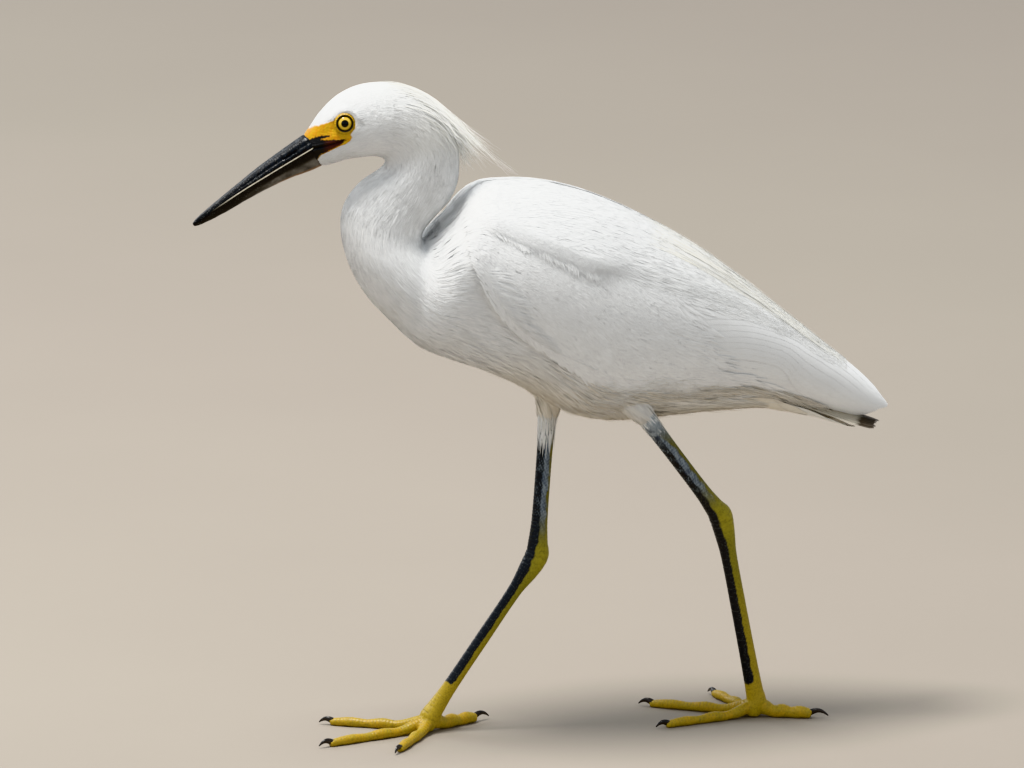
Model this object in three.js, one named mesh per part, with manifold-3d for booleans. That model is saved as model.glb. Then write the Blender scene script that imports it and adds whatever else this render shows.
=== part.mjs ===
// A snowy egret in mid stride, at life size, in millimetres with +Z up.
// The bird faces -X and its left side is towards -Y. The origin is on the ground under the middle of its length.
// Its right leg is planted ahead and its left leg trails. The neck is folded in an S and the wings are closed.
import * as THREE from "three";
import { mergeVertices } from "three/addons/utils/BufferGeometryUtils.js";
import Module from "manifold-3d";

const wasm = await Module();
wasm.setup();

const radians = THREE.MathUtils.degToRad;
const lerp = THREE.MathUtils.lerp;
const clamp = THREE.MathUtils.clamp;
const smooth = (x) => THREE.MathUtils.smoothstep(x, 0, 1);

const LEFT = -1;
const RIGHT = 1;

// Room between neighbouring pieces.
const gap = 0.3;

// The trunk's own axis starts in the breast and slopes down to the tail.
// u is the distance back along it, and v the height above it.
const trunkFront = { x: -80, z: 255 };
const trunkSlope = radians(18);

// Trunk without wings: u, v of the back, v of the belly, half width.
const trunkSections = [
  [0, 17, -7, 9],
  [3, 25, -16, 18],
  [8, 33, -23, 25],
  [15, 44, -27, 31],
  [25, 56, -30, 35],
  [40, 66, -31.5, 37.5],
  [60, 70.5, -32.5, 39],
  [80, 71.5, -35.5, 40],
  [100, 70, -40.5, 39.5],
  [120, 66.5, -43.5, 37.5],
  [140, 61.5, -40.5, 34],
  [160, 55, -33.5, 29.5],
  [180, 47, -27, 24],
  [200, 37, -21.5, 18.5],
  [220, 26, -16.5, 13.5],
  [240, 12, -11.5, 9.5],
  [252, 1, -9.8, 6],
  [264, -5.4, -8.2, 1.5],
];
const trunkEnd = 226;

// Outer face of the closed wings: u, v of the back, v of the belly, half width.
const wingSections = [
  [10, 40, -26, 29],
  [25, 61.5, -30, 38.5],
  [40, 72, -31.5, 42.5],
  [60, 76.5, -32.5, 45],
  [80, 77.5, -35.5, 46],
  [100, 76, -40.5, 46],
  [120, 73, -43, 44.5],
  [140, 69, -39, 41.5],
  [160, 63.5, -32, 37.5],
  [180, 56, -25, 32.5],
  [200, 48, -18, 27],
  [220, 39.5, -12, 21.5],
  [240, 31, -7.5, 16.5],
  [260, 23, -4, 12],
  [276, 15.5, -1, 8.5],
  [290, 8, 2, 5],
];

// Front edge of the closed wing: the angle round the body from the middle of the back, u.
const wingFront = [
  [2, 16],
  [40, 18],
  [62, 21],
  [81, 28],
  [103, 45],
  [112, 58],
  [118, 76],
  [121, 98],
];

// Half the spread of the mantle over the wings: u, angle from the middle of the back.
const mantleSpread = [
  [13, 26],
  [30, 43],
  [56, 51],
  [78, 58],
  [96, 62],
  [112, 56],
  [124, 34],
  [132, 12],
];
const mantleThickness = 2.4;
// Share of that spread covered by the saddle of small feathers, under the larger ones at its edge.
const saddleShare = 0.86;

// Height of the wing's underside under its outer face, over the trunk and beyond its end.
const wingDepth = 8;
const wingThinDepth = 1;
// The small feathers at the wing's front: how far back they reach, and how far they run in under the next row.
const wingFrontLength = 60;
const wingFrontSunk = 4;

// Tail: u of its tip, its height on the trunk's axis at the root and the tip, half its width there.
const tailTip = 287;
const tailHeights = [-4, -8.5];
const tailHalfWidths = [7, 12.5];

// Tiers of wing feathers, counted from the wing's lower edge up to the back.
// Starts are counted back from the wing's front edge. Angles are those of the wing's outer face.
const primaries = { count: 5, start: 90, angles: [116, 97], tips: [[263, 112], [288, 66]], widths: [8, 7] };
const secondaries = { count: 8, start: 74, angles: [113, 32], tips: [[224, 110], [240, 38]], widths: [14, 8.5] };
const tertials = { count: 3, start: 82, angles: [28, 10], tips: [[250, 30], [262, 12]], widths: [13, 9] };
const greaterCoverts = { count: 6, start: 50, length: 46, angles: [114, 57], widths: [13, 13.5] };
const medianCoverts = { count: 6, start: 30, length: 36, angles: [113, 54], widths: [12, 12.5] };
const alula = { count: 2, start: 14, length: 40, angles: [116, 110], widths: [6, 6.5] };

// Scapulars: rows of feathers across each side of the mantle, from the back row to the front one.
const scapularRows = [
  { from: 82, to: 130, count: 3, width: 17 },
  { from: 54, to: 100, count: 3, width: 17 },
];

// Plumes on the back and the crest on the nape.
const plumeCount = 7;
const plumeWidth = 1.5;
const crestCount = 7;
const crestWidth = 1.4;

const tailCount = 8;
const tailWidth = 9;

// Head and neck: x, z of the crown and nape side, x, z of the chin and throat side, half width.
const neckSections = [
  [-132.2, 343.4, -121.4, 324.9, 6.9],
  [-128.2, 348.8, -118, 325.6, 9.2],
  [-122, 357, -113.5, 326.8, 11.8],
  [-112.5, 365, -106, 328.6, 14],
  [-100.5, 369.6, -99, 328.8, 15.4],
  [-87.5, 370.2, -92.8, 328.9, 15.8],
  [-74.5, 367, -88.8, 327.8, 15.6],
  [-62.5, 360.2, -87, 326.2, 15.4],
  [-52.5, 350.8, -86.6, 324.2, 15.4],
  [-46.6, 338, -87.6, 321.9, 15.6],
  [-45.2, 324.5, -91.6, 318.6, 16.4],
  [-46, 312.5, -99.4, 314.6, 17.6],
  [-49.5, 302.5, -106.6, 307.4, 19.2],
  [-55.5, 293.5, -111.2, 298, 21.2],
  [-60.5, 283, -111.4, 285, 23.4],
  [-61.5, 272, -107.4, 268.5, 25.8],
  [-57, 264, -99, 252, 27.6],
  [-48, 258, -88, 239, 28.6],
  [-36, 254, -74, 225.6, 27.6],
  [-22, 250, -56, 215.6, 23],
  [-8, 245, -38, 210.6, 15],
];
const headEnd = 9;
const neckMiddle = 13;
const neckEnd = 15;

// Bill: it leaves the head at the mouth line's root and slopes down to the tip.
const billLength = 77;
const billRoot = { x: -127, z: 334 };
const billSlope = radians(29.3);
// Distance from the root, depth above the mouth line, depth below it, half width.
const billSections = [
  [0, 10.8, 9.8, 6.7],
  [8, 10.4, 8.4, 6.1],
  [18, 9.8, 6.7, 5.6],
  [30, 8.8, 5.8, 5],
  [44, 6.8, 4.7, 4],
  [58, 4.4, 3.4, 2.9],
  [70, 2.2, 1.8, 1.7],
  [77, 0.7, 0.6, 0.7],
];

// Nostril: distance from the bill's root, length, height above the mouth line, height of its slit and its depth.
const nostril = { from: 9, length: 8, above: 4.6, tall: 1.1, deep: 1.1 };

// Eyes.
const eyeRadius = 5.6;
const eyeAt = { x: -111.6, y: 8.6, z: 350.2 };
const eyeTurn = radians(10);
const eyeLift = radians(11);
const lidRadius = 4.75;
const lidThickness = 0.95;
const lidDepth = 4.1;

// Mouth line on the head: its ends, half its opening and its depth.
const mouthFrom = { x: -130.5, z: 333.2 };
const mouthTo = { x: -106.3, z: 340.8 };
const mouthHeight = 0.6;
const mouthDepth = 1.3;

// Legs: the points where each bends, from inside the trunk down to the toes' root.
const legs = [
  {
    side: LEFT,
    name: "left",
    knee: [20, -15, 226],
    hem: [56.3, -21.5, 176],
    heel: [99, -12, 117],
    ankle: [120.6, -3.5, 9],
    toes: [
      { name: "inner", turn: -72, length: 47, claw: 8 },
      { name: "middle", turn: -30, length: 62, claw: 9 },
      { name: "outer", turn: 14, length: 56, claw: 8 },
      { name: "hind", turn: 160, length: 31, claw: 12 },
    ],
  },
  {
    side: RIGHT,
    name: "right",
    knee: [13, 15, 228],
    hem: [8, 18, 177],
    heel: [0, 10, 93.5],
    ankle: [-61.4, 3.5, 8.5],
    toes: [
      { name: "inner", turn: 57, length: 47, claw: 8 },
      { name: "middle", turn: 18, length: 64, claw: 9 },
      { name: "outer", turn: -25, length: 57, claw: 8 },
      { name: "hind", turn: 206, length: 32, claw: 12 },
    ],
  },
];
const shankRadius = 3.9;
const heelRadius = 5.9;
const tarsusRadius = 3.8;
const toeRadius = 3;
const clawRadius = 1.75;
const clawTip = 0.3;
// Toes are nodes of their own from this distance out from the ankle, and their claws are sunk in by some more.
const toeStart = 11;
const clawSunk = 1.6;

// Along the thigh from the knee to the hem: share of the way, radius in its plane of bending and across.
const thighStations = [
  [0.3, 7, 5],
  [0.55, 9, 6],
  [0.76, 9.2, 6.8],
  [0.9, 7.4, 6.3],
  [1, 5.4, 5],
];
// Along a toe: share of its length and of its radius, wider at each joint.
const toeStations = [
  [0, 1.25],
  [0.16, 1.15],
  [0.32, 0.95],
  [0.47, 1.08],
  [0.62, 0.92],
  [0.78, 1.04],
  [0.93, 0.88],
  [1, 0.5],
];

// Materials.
const plumage = new THREE.MeshStandardMaterial({ color: 0xf1f0ea, roughness: 0.85, metalness: 0 });
const horn = new THREE.MeshStandardMaterial({ color: 0x17181b, roughness: 0.35, metalness: 0 });
const iris = new THREE.MeshStandardMaterial({ color: 0xe8c63a, roughness: 0.08, metalness: 0 });
const legSkin = new THREE.MeshStandardMaterial({ color: 0x3c4048, roughness: 0.5, metalness: 0 });
const toeSkin = new THREE.MeshStandardMaterial({ color: 0xd9a91f, roughness: 0.55, metalness: 0 });

// Smooth values of a table's columns between its rows, which are placed by their first column.
function along(table, at) {
  const last = table.length - 1;
  const x = clamp(at, table[0][0], table[last][0]);
  let i = 0;
  while (i < last - 1 && x > table[i + 1][0]) i += 1;
  const [a, b, c, d] = [Math.max(i - 1, 0), i, i + 1, Math.min(i + 2, last)].map((k) => table[k]);
  const span = c[0] - b[0];
  const t = (x - b[0]) / span;
  return b.slice(1).map((from, k) => {
    const to = c[k + 1];
    const slopeIn = ((to - a[k + 1]) / (c[0] - a[0])) * span;
    const slopeOut = ((d[k + 1] - from) / (d[0] - b[0])) * span;
    const t2 = t * t;
    const t3 = t2 * t;
    return (
      from * (2 * t3 - 3 * t2 + 1) + slopeIn * (t3 - 2 * t2 + t) + to * (3 * t2 - 2 * t3) + slopeOut * (t3 - t2)
    );
  });
}

// Numbers each row of a table by its place, so that along() can run between whole rows.
const numbered = (table) => table.map((row, i) => [i, ...row]);

function solidOf(geometry) {
  geometry.deleteAttribute("normal");
  geometry.deleteAttribute("uv");
  const merged = mergeVertices(geometry, 1e-4);
  return new wasm.Manifold(
    new wasm.Mesh({
      numProp: 3,
      vertProperties: new Float32Array(merged.attributes.position.array),
      triVerts: new Uint32Array(merged.index.array),
    }),
  );
}

// A closed surface through rings of equally many points, with a point added in the middle of each end.
function loft(rings) {
  const sides = rings[0].length;
  const middle = (ring) => ring.reduce((sum, p) => sum.add(p), new THREE.Vector3()).divideScalar(sides);
  const points = [...rings.flat(), middle(rings[0]), middle(rings[rings.length - 1])];
  const first = rings.length * sides;
  const end = (rings.length - 1) * sides;
  const index = [];
  for (let r = 0; r + 1 < rings.length; r += 1) {
    for (let k = 0; k < sides; k += 1) {
      const a = r * sides + k;
      const b = r * sides + ((k + 1) % sides);
      index.push(a, b, a + sides, b, b + sides, a + sides);
    }
  }
  for (let k = 0; k < sides; k += 1) {
    const next = (k + 1) % sides;
    index.push(first, next, k, first + 1, end + k, end + next);
  }
  const geometry = new THREE.BufferGeometry().setFromPoints(points);
  geometry.setIndex(index);
  const made = solidOf(geometry);
  if (made.volume() > 0) return made;
  for (let i = 0; i < index.length; i += 3) [index[i + 1], index[i + 2]] = [index[i + 2], index[i + 1]];
  geometry.setIndex(index);
  return solidOf(geometry);
}

const join = (solids) => wasm.Manifold.union(solids);

// The largest closed surface of a solid.
function largest(solid) {
  return solid.decompose().reduce((best, next) => (next.volume() > best.volume() ? next : best));
}

function half(solid, side) {
  return solid.trimByPlane([0, side, 0], gap / 2);
}

// An egg-shaped ring round a centre: up is its first axis, and squareness above 1 makes the sides fuller.
function ring(centre, up, across, high, low, wide, sides, squareness = 1) {
  return Array.from({ length: sides }, (_, k) => {
    const angle = (k / sides) * 2 * Math.PI;
    const c = Math.cos(angle);
    const s = Math.sin(angle);
    const tall = c > 0 ? high : low;
    return centre
      .clone()
      .addScaledVector(up, tall * Math.sign(c) * Math.abs(c) ** (1 / squareness))
      .addScaledVector(across, wide * Math.sign(s) * Math.abs(s) ** (1 / squareness));
  });
}

const acrossBody = new THREE.Vector3(0, 1, 0);
const trunkUp = new THREE.Vector3(Math.sin(trunkSlope), 0, Math.cos(trunkSlope));

function trunkPoint(u, v, y) {
  return new THREE.Vector3(
    trunkFront.x + u * Math.cos(trunkSlope) + v * Math.sin(trunkSlope),
    y,
    trunkFront.z - u * Math.sin(trunkSlope) + v * Math.cos(trunkSlope),
  );
}

// Trunk.
const trunkSides = 24;
const trunkFullness = 1.08;

function trunkLoft(grown) {
  const stations = trunkSections.map((row) => row[0]);
  const last = stations.length - 1;
  return loft(
    stations.map((u, i) => {
      const [back, belly, wide] = along(trunkSections, u);
      const middle = (back + belly) / 2;
      const tall = (back - belly) / 2 + grown;
      const shift = i === 0 ? -grown : i === last ? grown : 0;
      return ring(
        trunkPoint(u + shift, middle, 0), trunkUp, acrossBody, tall, tall, wide + grown, trunkSides, trunkFullness,
      );
    }),
  );
}

// Head and neck as one bent form.
const neckSides = 20;
const neckRows = numbered(neckSections);

function neckRing(at, grown = 0) {
  const [bx, bz, fx, fz, wide] = along(neckRows, at);
  const backSide = new THREE.Vector3(bx, 0, bz);
  const frontSide = new THREE.Vector3(fx, 0, fz);
  const up = backSide.clone().sub(frontSide);
  const tall = up.length() / 2 + grown;
  return {
    centre: backSide.add(frontSide).divideScalar(2),
    up: up.normalize(),
    tall,
    wide: wide + grown,
  };
}

function neckLoft(from, to, perRow, grown = 0) {
  const steps = Math.round((to - from) * perRow);
  return loft(
    Array.from({ length: steps + 1 }, (_, i) => {
      const r = neckRing(lerp(from, to, i / steps), grown);
      return ring(r.centre, r.up, acrossBody, r.tall, r.tall, r.wide, neckSides);
    }),
  );
}

// Cuts a solid square to the neck at a section, and keeps the side towards the body (1) or the head (-1).
function neckCut(solid, at, side) {
  const r = neckRing(at);
  const ahead = new THREE.Vector3().crossVectors(acrossBody, r.up).multiplyScalar(side);
  return solid.trimByPlane(ahead.toArray(), ahead.dot(r.centre) + gap / 2);
}

// Bill.
const billAlong = new THREE.Vector3(-Math.cos(billSlope), 0, -Math.sin(billSlope));
const billUp = new THREE.Vector3(-Math.sin(billSlope), 0, Math.cos(billSlope));
const billSides = 10;
const billSteps = 12;
const slitSides = 6;

// One half of the bill: upper is 1 for the upper half and -1 for the lower.
function billHalf(upper) {
  return loft(
    Array.from({ length: billSteps + 1 }, (_, i) => {
      const at = (i / billSteps) * billLength;
      const [above, below, wide] = along(billSections, at);
      const deep = upper > 0 ? above : below;
      const centre = new THREE.Vector3(billRoot.x, 0, billRoot.z)
        .addScaledVector(billAlong, at + gap)
        .addScaledVector(billUp, (upper * gap) / 2);
      return Array.from({ length: billSides }, (_, k) => {
        const angle = (k / (billSides - 1)) * Math.PI;
        return centre
          .clone()
          .addScaledVector(billUp, upper * deep * Math.sin(angle))
          .addScaledVector(acrossBody, wide * Math.cos(angle));
      });
    }),
  );
}

// A slit on each side of the bill's upper half.
function nostrils() {
  const { from, length, above, tall } = nostril;
  const slit = (side) =>
    limb(
      [0, 0.25, 0.75, 1].map((t) => {
        const at = from + t * length;
        const [deep, , wide] = along(billSections, at);
        const y = side * wide * Math.sqrt(1 - (above / deep) ** 2);
        const open = (tall / 2) * Math.sin(Math.PI * lerp(0.12, 0.88, t));
        return {
          at: new THREE.Vector3(billRoot.x, y, billRoot.z)
            .addScaledVector(billAlong, at)
            .addScaledVector(billUp, above),
          deep: open,
          wide: nostril.deep,
        };
      }),
      slitSides,
    );
  return slit(LEFT).add(slit(RIGHT));
}

// Legs.
const legSides = 10;

function pointOf(values) {
  return new THREE.Vector3(...values);
}

// A limb through centres with radii in its plane of bending and across it.
function limb(stations, sides) {
  return loft(
    stations.map((s, i) => {
      const before = stations[Math.max(i - 1, 0)].at;
      const after = stations[Math.min(i + 1, stations.length - 1)].at;
      const run = after.clone().sub(before).normalize();
      const across = acrossBody.clone().addScaledVector(run, -acrossBody.dot(run)).normalize();
      const up = new THREE.Vector3().crossVectors(run, across);
      return ring(s.at, up, across, s.deep, s.deep, s.wide, sides);
    }),
  );
}

function between(a, b, t) {
  return a.clone().lerp(b, t);
}

function wholeLeg(leg) {
  const [knee, hem, heel, ankle] = [leg.knee, leg.hem, leg.heel, leg.ankle].map(pointOf);
  const bend = between(hem, heel, 0.93);
  const past = between(heel, ankle, 0.08);
  return limb(
    [
      ...thighStations.map(([share, deep, wide]) => ({ at: between(knee, hem, share), deep, wide })),
      { at: between(hem, heel, 0.12), deep: 4.5, wide: 4.1 },
      { at: between(hem, heel, 0.4), deep: shankRadius, wide: shankRadius * 0.85 },
      { at: between(hem, heel, 0.75), deep: shankRadius * 1.08, wide: shankRadius * 0.9 },
      { at: bend, deep: heelRadius * 0.9, wide: heelRadius * 0.82 },
      { at: heel, deep: heelRadius, wide: heelRadius * 0.84 },
      { at: past, deep: heelRadius * 0.88, wide: heelRadius * 0.78 },
      { at: between(heel, ankle, 0.22), deep: tarsusRadius, wide: tarsusRadius * 0.84 },
      { at: between(heel, ankle, 0.5), deep: tarsusRadius, wide: tarsusRadius * 0.8 },
      { at: between(heel, ankle, 0.82), deep: tarsusRadius * 1.05, wide: tarsusRadius * 0.86 },
      { at: between(heel, ankle, 0.95), deep: 4.9, wide: 4.9 },
      { at: ankle, deep: 5.4, wide: 6.2 },
      { at: ankle.clone().setZ(4).add(new THREE.Vector3(-1.5, 0, 0)), deep: 5.2, wide: 5.8 },
      { at: ankle.clone().setZ(-1).add(new THREE.Vector3(-1.5, 0, 0)), deep: 4.2, wide: 4.6 },
    ],
    legSides,
  );
}

// The part of a solid past a point along a direction.
function beyond(solid, point, direction) {
  const d = direction.clone().normalize();
  return solid.trimByPlane(d.toArray(), d.dot(point) + gap / 2);
}

const groundNormal = [0, 0, 1];

// A toe and its claw, from the foot's root out along the ground.
const toeSides = 8;
const clawSides = 6;

function toePath(leg, toe) {
  const turn = radians(toe.turn);
  const out = new THREE.Vector3(-Math.cos(turn), -Math.sin(turn), 0);
  const root = pointOf(leg.ankle);
  const place = (distance, height) => root.clone().setZ(height).addScaledVector(out, distance);
  return { out, root, place };
}

function toeSolid(leg, toe) {
  const { root, place } = toePath(leg, toe);
  const thick = toe.name === "hind" ? toeRadius * 1.05 : toeRadius;
  return limb(
    toeStations.map(([share, knuckle]) => {
      const radius = thick * knuckle * lerp(1.05, 0.86, share);
      const settled = radius - 0.35;
      const height = lerp(root.z - 1.5, settled, smooth(share * 4));
      return { at: place(share * toe.length, height), deep: radius, wide: radius * 1.04 };
    }),
    toeSides,
  );
}

function clawSolid(leg, toe) {
  const { place } = toePath(leg, toe);
  const steps = 3;
  return limb(
    Array.from({ length: steps + 1 }, (_, i) => {
      const t = i / steps;
      const rise = toe.claw * 0.26 * Math.sin(t * Math.PI * 0.8);
      const radius = lerp(clawRadius, clawTip, t ** 1.2);
      const height = lerp(2.4, 0.45, t * t) + rise;
      const distance = toe.length - clawSunk + t * (toe.claw + clawSunk);
      return { at: place(distance, height), deep: radius, wide: radius * 0.8 };
    }),
    clawSides,
  );
}

// Builds one leg's nodes: thigh, shank, tarsus, foot, toes and claws.
function legNodes(leg, trunkGrown) {
  const whole = wholeLeg(leg).trimByPlane(groundNormal, 0);
  const [knee, hem, heel, ankle] = [leg.knee, leg.hem, leg.heel, leg.ankle].map(pointOf);
  const shankRun = heel.clone().sub(hem).normalize();
  const tarsusRun = ankle.clone().sub(heel).normalize();
  const shankStart = between(hem, heel, 0.03);
  const tarsusStart = between(hem, heel, 0.9);
  const footStart = between(heel, ankle, 0.93);
  const back = (v) => v.clone().negate();
  const nodes = {};
  nodes[`thigh_${leg.name}`] = [
    largest(beyond(whole, shankStart, back(shankRun)).subtract(trunkGrown)), plumage,
  ];
  nodes[`shank_${leg.name}`] = [
    largest(beyond(beyond(whole, shankStart, shankRun), tarsusStart, back(shankRun))), legSkin,
  ];
  nodes[`tarsus_${leg.name}`] = [
    largest(beyond(beyond(whole, tarsusStart, shankRun), footStart, back(tarsusRun))), legSkin,
  ];
  let foot = beyond(whole, footStart, tarsusRun);
  for (const toe of leg.toes) {
    const { out, place } = toePath(leg, toe);
    const full = toeSolid(leg, toe).trimByPlane(groundNormal, 0);
    const cut = place(toeStart, 0);
    foot = foot.add(beyond(full, cut, back(out)));
    const claw = clawSolid(leg, toe);
    const clawStart = place(toe.length - 0.4, 0);
    nodes[`toe_${toe.name}_${leg.name}`] = [
      largest(beyond(beyond(full, cut, out), clawStart, back(out))), toeSkin,
    ];
    nodes[`claw_${toe.name}_${leg.name}`] = [
      largest(beyond(claw, clawStart, out).trimByPlane(groundNormal, 0.05)), horn,
    ];
  }
  nodes[`foot_${leg.name}`] = [largest(foot), toeSkin];
  for (const toe of leg.toes) {
    const node = nodes[`toe_${toe.name}_${leg.name}`];
    node[0] = largest(node[0].subtract(foot));
  }
  return nodes;
}

const egret = new THREE.Group();

function addNode(name, solid, material) {
  const made = solid.getMesh();
  const geometry = new THREE.BufferGeometry();
  const positions = new Float32Array(made.numVert * 3);
  for (let i = 0; i < made.numVert; i += 1) {
    for (let k = 0; k < 3; k += 1) positions[i * 3 + k] = made.vertProperties[i * made.numProp + k];
  }
  geometry.setAttribute("position", new THREE.BufferAttribute(positions, 3));
  geometry.setIndex(new THREE.BufferAttribute(new Uint32Array(made.triVerts), 1));
  const mesh = new THREE.Mesh(geometry, material);
  mesh.name = name;
  egret.add(mesh);
}

const trunkAlong = new THREE.Vector3(Math.cos(trunkSlope), 0, -Math.sin(trunkSlope));

// A point over the outer face of the closed wings: u, angle in degrees from the back, height above the face.
function wingPoint(u, angle, height, side) {
  const bare = (at, degrees) => {
    const [back, belly, wide] = along(wingSections, at);
    const turn = radians(degrees);
    const v = (back + belly) / 2 + ((back - belly) / 2) * Math.cos(turn);
    return trunkPoint(at, v, wide * Math.sin(turn));
  };
  const point = bare(u, angle);
  const onward = bare(u + 1, angle).sub(bare(u - 1, angle));
  const round = bare(u, angle + 1).sub(bare(u, angle - 1));
  const out = new THREE.Vector3().crossVectors(onward, round).normalize();
  point.addScaledVector(out, height);
  point.y *= side;
  return point;
}

// A closed sheet between two grids of points with the same rows and columns.
function sheet(top, bottom) {
  return loft(
    top.map((row, r) => {
      const under = [...bottom[r]].reverse();
      return [...row, ...under];
    }),
  );
}

// Small differences between feathers, the same at every run.
let draw = 7;
function varied(amount) {
  draw = (draw * 16807) % 2147483647;
  return amount * ((draw / 2147483647) * 2 - 1);
}

// Wing surface for a feather: shift is a distance round the body, in millimetres, down from the angle.
function onWing(side) {
  return (u, angle, shift, height) => {
    const step = wingPoint(u, angle - 1, 0, side).distanceTo(wingPoint(u, angle + 1, 0, side)) / 2;
    return wingPoint(u, angle + shift / step, height, side);
  };
}

// How wide a feather is along its length, as shares of its length and of its width.
const vaneShape = [
  [0, 0.8],
  [0.5, 1],
  [0.86, 0.86],
  [0.96, 0.55],
  [1, 0.12],
];

// A feather over a surface, from its root to its tip, each given as [u, angle].
// Its lower edge stands off the feather below, and its upper edge goes under the one above.
// Its underside is a given height at each u, or its own thickness below its upper edge.
function vane(place, { root, tip, widths, heights, under, thick = 0.6, tilt = 0.7, steps = 4 }) {
  const shares = Array.from({ length: steps }, (_, i) => (i / (steps - 1)) * 0.9).concat(1);
  return loft(
    shares.map((share) => {
      const [wide] = along(vaneShape, share);
      const u = lerp(root[0], tip[0], share);
      const angle = lerp(root[1], tip[1], smooth(share));
      const height = lerp(heights[0], heights[1], share);
      const reach = (lerp(widths[0], widths[1], share) / 2) * wide;
      const rise = tilt * wide;
      const floor = height - rise - thick;
      const bottom = under ? Math.min(floor, under(u)) : floor;
      return [
        place(u, angle, reach, height + rise),
        place(u, angle, 0, height + rise * 0.4),
        place(u, angle, -reach, height - rise),
        place(u, angle, -reach, bottom),
        place(u, angle, reach, bottom),
      ];
    }),
  );
}

const rowShare = (i, count) => (count > 1 ? i / (count - 1) : 0);

// One tier of feathers whose roots lie behind the wing's front edge.
function tier(side, rule, heights) {
  return Array.from({ length: rule.count }, (_, i) => {
    const share = rowShare(i, rule.count);
    const angle = lerp(rule.angles[0], rule.angles[1], share);
    const u = along(wingFront, angle)[0] + rule.start;
    const tip = rule.tips
      ? [lerp(rule.tips[0][0], rule.tips[1][0], share), lerp(rule.tips[0][1], rule.tips[1][1], share)]
      : [u + rule.length, Math.min(angle + 1, 118)];
    tip[0] += varied(1.2);
    const steps = Math.round(clamp((tip[0] - u) / 27, 3, 6));
    return vane(onWing(side), { root: [u, angle], tip, widths: rule.widths, heights, under: wingUnder, steps });
  });
}

// Height of the wing's underside: deep enough to rest on the trunk, and thin beyond the trunk's end.
function wingUnder(u) {
  return lerp(-wingDepth, -wingThinDepth, smooth((u - 196) / 44));
}

function wingFeathers(side) {
  return [
    ...tier(side, primaries, [-3.4, -1]),
    ...tier(side, secondaries, [-2.5, 0]),
    ...tier(side, tertials, [-2.2, 0.5]),
    ...tier(side, greaterCoverts, [-2, 0.5]),
    ...tier(side, medianCoverts, [-1.7, 0.8]),
    ...tier(side, alula, [-1, 1.2]),
  ];
}

// The wing's front: smooth over the small feathers, and running in under the rows of larger ones.
function wingCore(side) {
  const rows = 5;
  const columns = 9;
  const grid = (height) =>
    Array.from({ length: rows + 1 }, (_, r) =>
      Array.from({ length: columns + 1 }, (_, c) => {
        const angle = lerp(3, 117, c / columns);
        const behind = (r / rows) * wingFrontLength;
        return wingPoint(along(wingFront, angle)[0] + behind, angle, height(behind), side);
      }),
    );
  const top = (behind) => lerp(-0.2, -wingFrontSunk, smooth((behind - 24) / 36));
  return sheet(grid(top), grid(() => -wingDepth));
}

function wingSolid(side) {
  const whole = join([wingCore(side), ...wingFeathers(side)]);
  return largest(half(whole.subtract(trunkGrown).subtract(neckGrown).subtract(saddle(gap)), side));
}

// The saddle of small feathers over both shoulders. grown adds room all round it.
function saddle(grown = 0) {
  const rows = 7;
  const columns = 8;
  const [first, last] = [mantleSpread[0][0], mantleSpread[mantleSpread.length - 1][0]];
  const grid = (height) =>
    Array.from({ length: rows + 1 }, (_, r) =>
      Array.from({ length: columns + 1 }, (_, c) => {
        const u = lerp(first, last, r / rows);
        const share = lerp(-1, 1, c / columns);
        const reach = along(mantleSpread, u)[0] * saddleShare + grown * 3;
        const side = share < 0 ? LEFT : RIGHT;
        return wingPoint(u, reach * Math.abs(share), height, side);
      }),
    );
  return sheet(grid(mantleThickness + grown), grid(gap - grown));
}

function scapulars(side) {
  return scapularRows.flatMap((row) =>
    Array.from({ length: row.count }, (_, i) => {
      const share = lerp(0.76, 0.2, rowShare(i, row.count));
      const rootAngle = along(mantleSpread, row.from)[0] * share;
      const tipAngle = along(mantleSpread, (row.from + row.to) / 2)[0] * share;
      return vane(onWing(side), {
        root: [row.from + varied(2), rootAngle * 0.96],
        tip: [row.to + varied(2), tipAngle],
        widths: [row.width, row.width],
        heights: [1.4, 2.9],
        thick: 0.1,
        tilt: 0.5,
        steps: 3,
      });
    }),
  );
}

// Long fine plumes that leave the back between the wings and lie over them towards the tail.
function backPlumes() {
  return Array.from({ length: plumeCount }, (_, i) => {
    const share = lerp(-1, 1, rowShare(i, plumeCount));
    const side = share < 0 ? LEFT : RIGHT;
    const angle = Math.abs(share) * 24;
    const end = lerp(258, 222, Math.abs(share)) + varied(5);
    const points = [0, 0.3, 0.65, 1].map((t) =>
      wingPoint(lerp(104, end, t), lerp(angle, angle * 1.15 + 4, t), lerp(1.4, 3.4, smooth(t * 2)), side),
    );
    return lock(points, 0.8, plumeWidth);
  });
}

function mantleSolid() {
  const made = join([saddle(), ...scapulars(LEFT), ...scapulars(RIGHT), ...backPlumes()]);
  return largest(made.subtract(neckGrown));
}

// Cuts a solid square to the trunk, and keeps the part behind (1) or ahead (-1) of a distance along it.
function trunkCut(solid, u, side) {
  return beyond(solid, trunkPoint(u, 0, 0), trunkAlong.clone().multiplyScalar(side));
}

function tailFeathers() {
  const place = (u, y, shift, height) => {
    const along01 = (u - trunkEnd) / (tailTip - trunkEnd);
    const at = y + shift;
    return trunkPoint(u, lerp(tailHeights[0], tailHeights[1], along01) + height - 0.012 * at * at, at);
  };
  return Array.from({ length: tailCount }, (_, i) => {
    const share = lerp(-1, 1, rowShare(i, tailCount));
    const side = share < 0 ? -1 : 1;
    const rank = 1 - Math.abs(share);
    return vane((u, y, shift, height) => place(u, y, shift * side, height), {
      root: [trunkEnd - 8, share * tailHalfWidths[0]],
      tip: [tailTip - 4 * Math.abs(share) + varied(0.6), share * tailHalfWidths[1]],
      widths: [tailWidth * 0.7, tailWidth],
      heights: [rank, rank],
      thick: 0.3,
      tilt: 0.45,
      steps: 3,
    });
  });
}

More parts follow.
